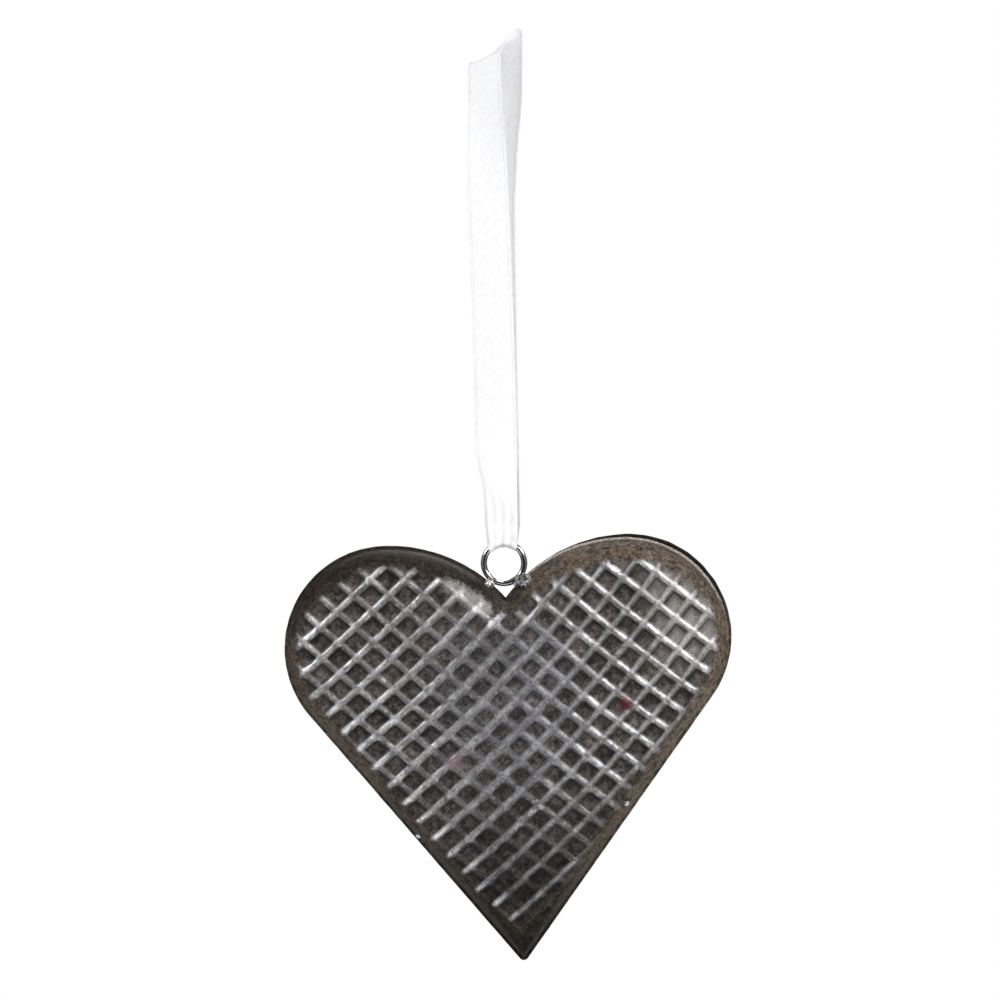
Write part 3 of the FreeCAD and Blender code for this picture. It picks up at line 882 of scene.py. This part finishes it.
def dark_tin(tree, place, wear, cloud, speck):
    """Patina of the band and of the cells' floors, the band with painted light on its right and painted shade
    on its left.
    """
    patina = mix(tree, cloud["Mask"], patina_black, patina_brown)
    patina = mix(tree, product(tree, speck["Mask"], 0.6), patina, patina_fleck)
    floor = mix(tree, wear["middle"], cell_brown, cell_middle)
    floor = mix(tree, wear["low"], floor, cell_low)
    flecks = product(tree, speck["Mask"], straight(tree, wear["low"], -0.5, 0.65))
    floor = mix(tree, flecks, floor, cell_fleck)
    cloudy = ramp(tree, blotches(tree, place, cell_fineness), 0.38, 0.62, 0.55, 1.25)
    floor = times(tree, floor, product(tree, wear["tone"], cloudy))
    return mix(tree, wear["field"], times(tree, patina, wear["tone"]), floor)


def grey_tin(tree, place, wear, cloud):
    """Ribs worn to grey, with brighter streaks high up."""
    grey = mix(tree, wear["middle"], rib_grey, rib_middle)
    grey = mix(tree, wear["low"], grey, rib_low)
    streaks = ramp(tree, blotches(tree, place, streak_fineness), 0.45, 0.62)
    streaks = product(tree, cloud["Mask"], streaks)
    high_up = left_of_one(tree, maths(tree, "MAXIMUM", wear["low"], product(tree, wear["middle"], 0.6)))
    return mix(tree, product(tree, streaks, high_up), grey, rib_streak)


def aged_tin(name, scratches, mottling, marks):
    """Tin gone brown-black, with its ribs worn back to grey, painted highlights on the ribs and rim, a
    painted sheen and painted shade in the cells. Marks are smears and stains on it.
    """
    material, tree, shader = start_material(name, Specular_IOR_Level=0.14)
    place = object_place(tree)
    cloud, speck = [use_group(tree, mottling, Size=size) for size in (cloud_fineness, speck_fineness)]
    grain = blotches(tree, place, sand_fineness, 2.0, 0.75)
    scratch = use_group(tree, scratches, Density=0.8)["Mask"]
    wear = {label: attribute(tree, label) for label in wear_names}

    patchy = straight(tree, speck["Mask"], 0.35, product(tree, cloud["Mask"], 0.15))
    patchy = straight(tree, product(tree, wear["low"], speck["Mask"]), 0.6, patchy)
    shown = ramp(tree, maths(tree, "SUBTRACT", wear["worn"], patchy), -0.1, 0.6)
    # Painted highlight along the ribs' lit slopes, broken up by noise
    uneven = ramp(tree, blotches(tree, place, highlight_fineness, 5.0, 0.75), 0.38, 0.56, 0.15, 1.0)
    bright = product(tree, wear["rubbed_highlight"], uneven)
    edge = ramp(tree, maths(tree, "SUBTRACT", wear["rim"], product(tree, speck["Mask"], 0.3)), 0.2, 0.9)
    brushed = straight(tree, shown, 0.4, straight(tree, wear["middle"], 0.14, 0.06))
    brushed = product(tree, scratch, brushed, left_of_one(tree, wear["low"]))
    layers = [
        (shown, grey_tin(tree, place, wear, cloud)),
        # Painted reflection, pale, on the right lobe's upper outside
        (product(tree, wear["pale"], 0.4), pale_sheen),
        (bright, highlight_white),
        # Near-black painted shade, with some patina, at the feet of the cells' walls
        (wear["shade_and_grime"], shade_and_soot),
        # Rim: painted highlight at the upper right, over a little edge wear
        (product(tree, edge, 0.8), rim_highlight),
        (brushed, brush_grey),
    ]
    for spot, radius, share, tint in marks:
        layers.append((product(tree, spot_mask(tree, place, spot, radius), share), tint))
    colour = dark_tin(tree, place, wear, cloud, speck)
    for share, tint in layers:
        colour = mix(tree, share, colour, tint)
    band = straight(tree, wear["field"], -0.6, 1.0)
    grainy = mix(tree, band, (1, 1, 1, 1), ramp(tree, grain, 0.35, 0.65, 0.45, 1.55))
    connect(tree, mix(tree, 1.0, colour, grainy, "MULTIPLY"), shader["Base Color"])

    metal = product(tree, left_of_one(tree, wear["shade_and_grime"]), straight(tree, shown, 0.6, 0.15))
    connect(tree, straight(tree, bright, -0.25, metal, clamp=True), shader["Metallic"])
    dull = straight(tree, wear["field"], -0.3, 0.46)
    connect(tree, straight(tree, speck["Grain"], 0.3, dull), shader["Roughness"])
    sand = product(tree, grain, straight(tree, wear["field"], -0.3, 0.9))
    height = maths(tree, "ADD", sand, maths(tree, "SUBTRACT", speck["Grain"], scratch))
    connect(tree, bump(tree, height, 0.05 * mm), shader["Normal"])
    return material


def wire_with_painted_reflections(scratches):
    """Bright steel wire with dark painted reflection stripes along it, laid by place around the wire's
    section.
    """
    material, tree, shader = start_material("steel_wire", Metallic=1.0)
    drift = product(tree, blotches(tree, object_place(tree), 90.0, 2.0, 0.5), 0.35)
    out, front = attribute(tree, "out"), attribute(tree, "front")
    skin = add_node(tree, "ShaderNodeCombineXYZ", X=out, Y=front, Z=drift)
    lines = blotches(tree, skin.outputs[0], 2.2, roughness=0.55)
    # Painted reflection: bright and near-black bands, by place around the wire's section, run along it
    dark = ramp(tree, lines, 0.53, 0.46)
    colour = mix(tree, dark, srgb(226, 225, 223), srgb(34, 33, 34))
    scratch = use_group(tree, scratches, Density=0.3)["Mask"]
    colour = mix(tree, product(tree, scratch, 0.3), colour, srgb(120, 116, 112))
    connect(tree, colour, shader["Base Color"])
    connect(tree, straight(tree, dark, 0.12, 0.14), shader["Roughness"])
    connect(tree, bump(tree, lines, 0.04 * mm, 0.5), shader["Normal"])
    return material


def solder_metal(name, mottling, bright, dull, crusted, relief):
    """Solder with a dull crust in patches. Crusted shifts how much shows, relief is its bump's strength."""
    material, tree, shader = start_material(name, Metallic=0.85)
    cloud = use_group(tree, mottling, Size=900.0)
    crust = straight(tree, cloud["Mask"], 0.75, crusted, clamp=True)
    connect(tree, mix(tree, crust, bright, dull), shader["Base Color"])
    connect(tree, straight(tree, crust, 0.22, 0.16), shader["Roughness"])
    height = maths(tree, "ADD", cloud["Grain"], cloud["Mask"])
    connect(tree, bump(tree, height, 0.12 * mm, relief), shader["Normal"])
    return material


def satin():
    """White satin with a fine diagonal weave, a corded selvedge and painted lavender-grey shade in its
    pleats' valleys, on a map in millimetres.
    """
    material, tree, shader = start_material("white_satin", Sheen_Weight=0.25, Sheen_Roughness=0.35)
    weave = add_node(tree, "ShaderNodeUVMap", (("uv_map", "weave"),)).outputs[0]
    across = add_node(tree, "ShaderNodeSeparateXYZ", Vector=weave).outputs[0]
    diagonal = mapped(tree, weave, Rotation=(0, 0, math.radians(32)))
    twill = blotches(tree, mapped(tree, diagonal, Scale=(1, 0.12, 1)), 3.2, 2.0, 0.5)
    floats = blotches(tree, mapped(tree, weave, Scale=(1, 0.08, 1)), 9.0, 2.0, 0.5)
    from_edge = maths(tree, "SUBTRACT", ribbon_width / 2 / mm, maths(tree, "ABSOLUTE", across))
    cord = maths(tree, "PINGPONG", from_edge, 0.3)
    selvedge = product(tree, ramp(tree, from_edge, 0.75, 0.6), ramp(tree, cord, 0.0, 0.16, 1.0, 0.0))
    shade = straight(tree, ramp(tree, twill, 0.42, 0.62), 0.35, product(tree, selvedge, 0.75))
    # Painted shade, lavender grey, in the pleats' valleys just above the ring
    white = mix(tree, attribute(tree, "valley_shade"), srgb(254, 254, 254), srgb(210, 209, 218))
    connect(tree, mix(tree, shade, white, srgb(228, 228, 234)), shader["Base Color"])
    connect(tree, straight(tree, floats, 0.2, 0.36), shader["Roughness"])
    height = maths(tree, "ADD", product(tree, twill, 0.6), product(tree, floats, 0.5))
    connect(tree, bump(tree, maths(tree, "SUBTRACT", height, selvedge), 0.05 * mm, 0.6), shader["Normal"])
    return material


def white_thread():
    """White sewing thread with a slanting ply."""
    material, tree, shader = start_material("white_thread", Roughness=0.7, Sheen_Weight=0.3)
    plied = mapped(tree, object_place(tree), Rotation=(0, math.radians(35), 0), Scale=(1, 1, 6))
    ply = blotches(tree, plied, 1800.0, 2.0, 0.5)
    connect(tree, mix(tree, ply, srgb(222, 221, 224), srgb(247, 247, 248)), shader["Base Color"])
    connect(tree, bump(tree, ply, 0.06 * mm), shader["Normal"])
    return material


# Ring and solder

def wire_ring(material):
    """One turn of round wire. How far out and forward its skin lies is kept for the painted reflection
    stripes.
    """
    bm = bmesh.new()
    wire_radius = ring_wire / 2
    section = Matrix.Translation(ring_centre + Vector((ring_radius, 0, 0)))
    section = section @ Matrix.Rotation(math.pi / 2, 4, "X")
    bmesh.ops.create_circle(bm, segments=32, radius=wire_radius, matrix=section)
    bmesh.ops.spin(
        bm,
        geom=bm.verts[:] + bm.edges[:],
        cent=ring_centre,
        axis=(0, 0, 1),
        angle=2 * math.pi,
        steps=128,
        use_merge=True,
    )
    bmesh.ops.remove_doubles(bm, verts=bm.verts, dist=cut_join)
    bmesh.ops.recalc_face_normals(bm, faces=bm.faces)
    out = bm.verts.layers.float.new("out")
    front = bm.verts.layers.float.new("front")
    for vert in bm.verts:
        vert[out] = ((vert.co - ring_centre).xy.length - ring_radius) / wire_radius
        vert[front] = vert.co.z / wire_radius
    bm.transform(heart_place)
    return as_piece("wire_ring", bm, material)


def reach_of(balls, start, way):
    """How far the union of some balls reaches from a point along a direction."""
    reach = 0
    for middle, radius in balls:
        along = (middle - start).dot(way)
        off = (middle - start).length_squared - along ** 2
        if off < radius ** 2:
            reach = max(reach, along + math.sqrt(radius ** 2 - off))
    return reach


def lump(name, balls, grain, knobs, material):
    """Blob in the form of some melted balls, with knobs and grain on its skin, as shares of its reach."""
    start, size = balls[0]
    least_reach_share = 0.7
    knob_fineness, grain_fineness = 2.6, 9
    bm = bmesh.new()
    bmesh.ops.create_icosphere(bm, subdivisions=6, radius=1)
    for vert in bm.verts:
        way = vert.co.normalized()
        reach = max(reach_of(balls, start, way), size * least_reach_share)
        knob = noise.noise(way * knob_fineness + start * 900) * knobs
        knob += noise.noise(way * grain_fineness + start * 500) * grain
        vert.co = start + way * (reach * (1 + knob) - size * knobs * 0.3)
    bmesh.ops.smooth_vert(bm, verts=bm.verts, factor=0.5, use_axis_x=True, use_axis_y=True, use_axis_z=True)
    bm.transform(heart_place)
    return as_piece(name, bm, material)


def solder_balls(side, size, shares):
    """Middles and radii of a blob's balls, between the ring and one shoulder."""
    shoulder_centre = Vector((side * shoulder.x, shoulder.y, 0))
    out = (shoulder_centre - ring_centre).normalized()
    along = Vector((-out.y, out.x, 0)) * side
    seat = ring_centre + out * ring_outer_radius
    forward = Vector((0, 0, size))
    return [(seat + (out * o + along * a) * size + forward * f, r * size) for o, a, f, r in shares]


def tack(name, side, place, grain, knobs, material):
    """Small blob on the seam, at a place up one side and in from its rim."""
    from_the_tip, inset = place
    spot = Vector((0, -heart_length)) + side_way * from_the_tip - outward * inset
    middle = Vector((side * spot.x, spot.y, wall_height(max(inset, flange_width))))
    return lump(name, [(middle, tack_radius)], grain, knobs, material)


# Ribbon

def eased_shares(rows, column, share):
    """A strand's column, averaged over a short run so that its cuts don't show as corners."""
    reads = [read_shares(rows, column, min(max(share + shift, 0), 1)) for shift in strand_easing_shares]
    return sum(reads) / len(reads)


def strand_place(side, rows, drop, across, lift=0.0):
    """Point of a strand's middle layer at a share of its drop and a share across. side is -1 in front."""
    turn = math.radians(eased_shares(rows, 1, drop))
    eased = [eased_shares(rows, column, drop) * ribbon_width for column in (2, 3, 4, 5)]
    middle_x, middle_y, width, crown = eased
    level = between(strand_top, strand_foot, drop)
    ripple = ripple_depth * noise.noise(Vector((across * 0.8, level * 60, side * 3.0)))
    outwards = side * crown * (1 - 4 * across ** 2) + lift + ripple
    return Vector((
        middle_x + math.cos(turn) * across * width - math.sin(turn) * outwards,
        middle_y + math.sin(turn) * across * width + math.cos(turn) * outwards,
        level,
    ))


def bight_place(share, across):
    """Point of the bight: up its front leg, round two bends with a slope between, down its back leg."""
    width_share = across + 0.5
    levels = [read_shares(bight_shares, column, width_share) * ribbon_width for column in (1, 2)]
    front_bend = Vector((bight_bend_radius, levels[0] - bight_bend_radius))
    crest_bend = Vector((hook_gap - bight_bend_radius, levels[1] - bight_bend_radius))
    slope = math.atan2(crest_bend.y - front_bend.y, crest_bend.x - front_bend.x)
    slope_starts = turned(front_bend, bight_bend_radius, upright + slope)
    slope_ends = turned(crest_bend, bight_bend_radius, upright + slope)
    stretches = 5
    stretch = min(int(share * stretches), stretches - 1)
    along = share * stretches - stretch
    if stretch == 0:
        flat = Vector((0, between(-bight_drop, front_bend.y, along)))
    elif stretch == 1:
        flat = turned(front_bend, bight_bend_radius, between(math.pi, upright + slope, along))
    elif stretch == 2:
        flat = slope_starts.lerp(slope_ends, along)
    elif stretch == 3:
        flat = turned(crest_bend, bight_bend_radius, between(upright + slope, 0, along))
    else:
        flat = Vector((hook_gap, between(crest_bend.y, -bight_drop, along)))
    wide = Vector((math.cos(bight_turn), math.sin(bight_turn), 0))
    through = Vector((-wide.y, wide.x, 0))
    start = wide * ((width_share - hook_share) * ribbon_width) - through * (hook_gap - bight_bend_radius)
    return start + through * flat.x + Vector((0, 0, flat.y))


def loop_place(share, across):
    """Point of the long loop: up the front strand, over the bight and down the back strand."""
    over = (share - strand_rows_share) / (1 - 2 * strand_rows_share)
    if over < 0:
        return strand_place(-1, front_shares, between(seam_share, 0, share / strand_rows_share), across)
    if over > 1:
        return strand_place(1, back_shares, between(seam_share, 0, (1 - share) / strand_rows_share), across)
    return bight_place(over, across)


def pleats(across, closeness):
    """Outward ripple of the gathered ribbon, stronger near the ring."""
    waves = [share * math.cos(across * turn + start) for share, turn, start in pleat_waves]
    return closeness * pleat_depth * sum(waves)


def pleat_valley_shade(share, across):
    """Painted shade for the satin: 1 in the deepest valleys of the pleats, just above the ring, and 0 away
    from them.
    """
    near_ring = 1 - past(abs(share - 0.5), *valley_shade_zone)
    deepest = pleat_depth * sum(wave[0] for wave in pleat_waves)
    return max(-pleats(across, near_ring) / deepest, 0)


def gather_place(share, across):
    """Point of the gathered end: down the front, round the ring's wire and up the back."""
    under = (share - leg_rows_share) / (1 - 2 * leg_rows_share)
    if 0 <= under <= 1:
        return wrap_place(under * math.pi, across)
    in_front = under < 0
    side, rows, wire_turn = (-1, front_shares, 0) if in_front else (1, back_shares, math.pi)
    drop = (share if in_front else 1 - share) / leg_rows_share
    down = min(drop / crease_share, 1)
    strand = strand_place(side, rows, between(seam_share, 1, down), across)
    pleated = crease_pleat_share * past(down, pleat_start_share, 1 - pleat_start_share)
    strand.y += side * (gather_gap * smooth(down) + pleats(across, pleated))
    if drop < crease_share:
        return strand
    below = (drop - crease_share) / (1 - crease_share)
    leg = strand.lerp(wrap_place(wire_turn, across), below)
    leg.y += side * pleats(across, math.sin(below * math.pi) * leg_pleat_share)
    return leg


def wrap_place(turn, across):
    """Point of the layer under the wire, at a turn from its front round to its back."""
    angle = between(-saddle_left_angle, saddle_right_angle, across + 0.5)
    away = Vector((math.sin(angle), 0, math.cos(angle)))
    hug = ring_wire / 2 + ribbon_thickness / 2 + wrap_gap
    wire = Vector((0, 0, -hook_to_ring)) + away * ring_radius
    return wire + Vector((0, -math.cos(turn) * hug, 0)) - away * (math.sin(turn) * hug)


def drop_of(level):
    """Share of a strand's drop at which a level lies."""
    return (level - strand_top) / (strand_foot - strand_top)


def lap_place(share, across):
    """Point of the ribbon's overlapping end, which lies on the back strand."""
    level = lap_level + (0.5 - share) * lap_length
    return strand_place(1, back_shares, drop_of(level), across, lap_lift)


def crowd_to_edges(place, count, first):
    """Place along a grid from -0.5 to 0.5 whose outermost rows are drawn in to a narrow first step."""
    step = 1 / count
    inner = (0.5 - first) / (0.5 - step)
    return place * inner if abs(place) < 0.5 - step / 2 else place


def strip(name, place_of, length, rows, columns, material, valley_shade_of=None):
    """Strip of ribbon from a formula for its points, with its flat size in millimetres kept as its weave, and
    painted shade in its pleats' valleys where a formula for it is given.
    """
    bm = bmesh.new()
    bmesh.ops.create_grid(bm, x_segments=columns, y_segments=rows, size=0.5)
    for vert in bm.verts:
        vert.co.x = crowd_to_edges(vert.co.x, columns, edge_row / ribbon_width)
        vert.co.y = crowd_to_edges(vert.co.y, rows, edge_row / length)
    weave = bm.loops.layers.uv.new("weave")
    for face in bm.faces:
        for loop in face.loops:
            loop[weave].uv = (loop.vert.co.x * ribbon_width / mm, loop.vert.co.y * length / mm)
    valley_shade = bm.verts.layers.float.new("valley_shade")
    for vert in bm.verts:
        vert[valley_shade] = valley_shade_of(vert.co.y + 0.5, vert.co.x) if valley_shade_of else 0
        vert.co = place_of(vert.co.y + 0.5, vert.co.x)
    piece = as_piece(name, bm, material)
    thicken(piece, ribbon_thickness, 0)
    return piece


def stitch_row(level, side, material, name):
    """One row of stitches through the lap, on one face of the back strand."""
    bm = bmesh.new()
    drop = drop_of(level)
    lift = (0.5 * ribbon_thickness + lap_lift) if side > 0 else -0.6 * ribbon_thickness
    turn = Matrix.Rotation(math.radians(eased_shares(back_shares, 1, drop)), 4, "Z")
    shape = turn @ Matrix.Diagonal((*stitch_half_size, 1))
    for number in range(stitches_in_row):
        across = (number + 0.5) / stitches_in_row - 0.5
        place = Matrix.Translation(strand_place(1, back_shares, drop, across, lift + stitch_stand * side))
        bmesh.ops.create_uvsphere(bm, u_segments=10, v_segments=8, radius=1, matrix=place @ shape)
    return as_piece(name, bm, material)


# Stage, light and camera

def light(name, place, size, power):
    """Round soft lamp that looks at the middle of the heart."""
    lamp = bpy.data.lights.new(name, "AREA")
    lamp.shape = "DISK"
    lamp.size = size
    lamp.energy = power
    item = bpy.data.objects.new(name, lamp)
    item.location = place
    item.rotation_euler = (heart_middle - Vector(place)).to_track_quat("-Z", "Y").to_euler()
    bpy.context.scene.collection.objects.link(item)


def white_to_view(tree):
    """1 for what the camera or a clear pane looks at, 0 for light."""
    path = tree.nodes.new("ShaderNodeLightPath").outputs
    return maths(tree, "ADD", path["Is Camera Ray"], path["Is Transmission Ray"], clamp=True)


def make_world():
    world = bpy.data.worlds.new("white_room")
    world.use_nodes = True
    tree = world.node_tree
    soft = tree.nodes["Background"]
    soft.inputs["Color"].default_value = room_tint
    soft.inputs["Strength"].default_value = room_light
    white = add_node(tree, "ShaderNodeBackground", Color=(1, 1, 1, 1), Strength=1.0)
    both = tree.nodes.new("ShaderNodeMixShader")
    tree.links.new(white_to_view(tree), both.inputs[0])
    tree.links.new(soft.outputs[0], both.inputs[1])
    tree.links.new(white.outputs[0], both.inputs[2])
    tree.links.new(both.outputs[0], tree.nodes["World Output"].inputs["Surface"])
    bpy.context.scene.world = world


def make_floor():
    """Round pale floor, which looks near white."""
    bm = bmesh.new()
    bmesh.ops.create_circle(bm, cap_ends=True, segments=96, radius=floor_radius)
    bm.transform(Matrix.Translation((0, 0, floor_level)))
    material, tree, shader = start_material("pale_floor", Roughness=0.8)
    tone = blotches(tree, object_place(tree), 3.0, 4.0)
    connect(tree, mix(tree, tone, srgb(248, 248, 248), srgb(252, 252, 252)), shader["Base Color"])
    shader["Emission Color"].default_value = (1, 1, 1, 1)
    connect(tree, product(tree, white_to_view(tree), floor_glow), shader["Emission Strength"])
    as_piece("floor", bm, material)


def make_camera():
    camera = bpy.data.objects.new("camera", bpy.data.cameras.new("camera"))
    camera.location = view_middle - Vector((0, camera_distance, 0))
    camera.rotation_euler = (math.pi / 2, 0, 0)
    camera.data.sensor_width = film_width
    camera.data.lens = film_width * camera_distance / view_width
    bpy.context.scene.collection.objects.link(camera)
    bpy.context.scene.camera = camera


make_world()
make_floor()
make_camera()
for name, (place, size, power) in softboxes.items():
    light(name, place, size, power)

scratches = make_scratches()
mottling = make_mottling()
# Marks on the front: place, radius, strength and colour. Four smears lie in a row beside the cleft
smear_grey = srgb(146, 143, 142)
front_marks = (
    ((-12.9 * mm, -7.2 * mm, -128.6 * mm), 2.6 * mm, 0.8, smear_grey),
    ((-10.0 * mm, -7.2 * mm, -130.2 * mm), 3.2 * mm, 0.85, smear_grey),
    ((-7.1 * mm, -7.2 * mm, -131.9 * mm), 3.4 * mm, 0.85, smear_grey),
    ((-4.3 * mm, -7.2 * mm, -133.8 * mm), 2.8 * mm, 0.75, smear_grey),
    ((29.1 * mm, -8.0 * mm, -156.2 * mm), 2.4 * mm, 0.7, srgb(92, 22, 28)),
    ((31.2 * mm, -7.0 * mm, -174.5 * mm), 1.6 * mm, 0.6, srgb(120, 74, 50)),
    ((-11.7 * mm, -9.0 * mm, -170.0 * mm), 2.8 * mm, 0.5, srgb(140, 112, 120)),
)
front_tin = aged_tin("aged_tin_front", scratches, mottling, front_marks)
back_tin = aged_tin("aged_tin_back", scratches, mottling, ())
half_turn = Matrix.Rotation(math.pi, 4, "Y")

flat_grid = waffle_grid()
front_shell = pressing("heart_front", flat_grid, heart_place, 1.0, front_tin)
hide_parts("front_shell")
back_shell = pressing("heart_back", flat_grid, heart_place @ half_turn, 21.0, back_tin)
flat_grid.free()
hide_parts("back_shell")
for shell in (front_shell, back_shell):
    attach(shell, "heart")

ring = wire_ring(wire_with_painted_reflections(scratches))
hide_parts("hanger_ring")
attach(ring, "heart")

bright_solder = solder_metal(
    "bright_solder", mottling, srgb(226, 224, 222), srgb(120, 116, 112), crusted=-0.15, relief=0.2
)
crusted_solder = solder_metal(
    "crusted_solder", mottling, srgb(236, 234, 234), srgb(30, 28, 30), crusted=0.34, relief=0.6
)
left_balls = solder_balls(-1, left_solder_size, left_solder_shares)
right_balls = solder_balls(1, right_solder_size, right_solder_shares)
solder_pieces = {
    "ring_solder_left": lump("solder_left", left_balls, 0.05, 0.14, bright_solder),
    "ring_solder_right": lump("solder_right", right_balls, 0.12, 0.22, crusted_solder),
    "seam_tack_left": tack("tack_left", -1, left_tack, 0.15, 0.3, bright_solder),
    "seam_tack_right": tack("tack_right", 1, right_tack, 0.12, 0.2, bright_solder),
}
for node, piece in solder_pieces.items():
    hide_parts(node)
    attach(piece, "heart")

white_satin = satin()
thread = white_thread()
loop_length = 2 * (strand_top - strand_foot) * seam_share + bight_run
gather_length = 2 * gathered_leg + wrap_run
loop = strip("ribbon_loop", loop_place, loop_length, 300, 20, white_satin)
gathered = strip("ribbon_gather", gather_place, gather_length, 120, 40, white_satin, pleat_valley_shade)
lap = strip("ribbon_overlap", lap_place, lap_length, 12, 20, white_satin)
stitch_rows = []
for number, (row, side) in enumerate(((-1, -1), (-1, 1), (1, -1), (1, 1))):
    level = lap_level + row * (lap_length / 2 - stitch_from_end)
    stitch_rows.append(stitch_row(level, side, thread, "stitches_" + str(number + 1)))

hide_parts("ribbon_bight", "ribbon_front_strand", "ribbon_back_strand")
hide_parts("ribbon_saddle")
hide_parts("ribbon_lap")
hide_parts("ribbon_stitches")
for piece in [lap] + stitch_rows:
    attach(piece, "ribbon_strands")
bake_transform(loop)
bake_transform(gathered)

bpy.context.scene.view_settings.view_transform = "Standard"
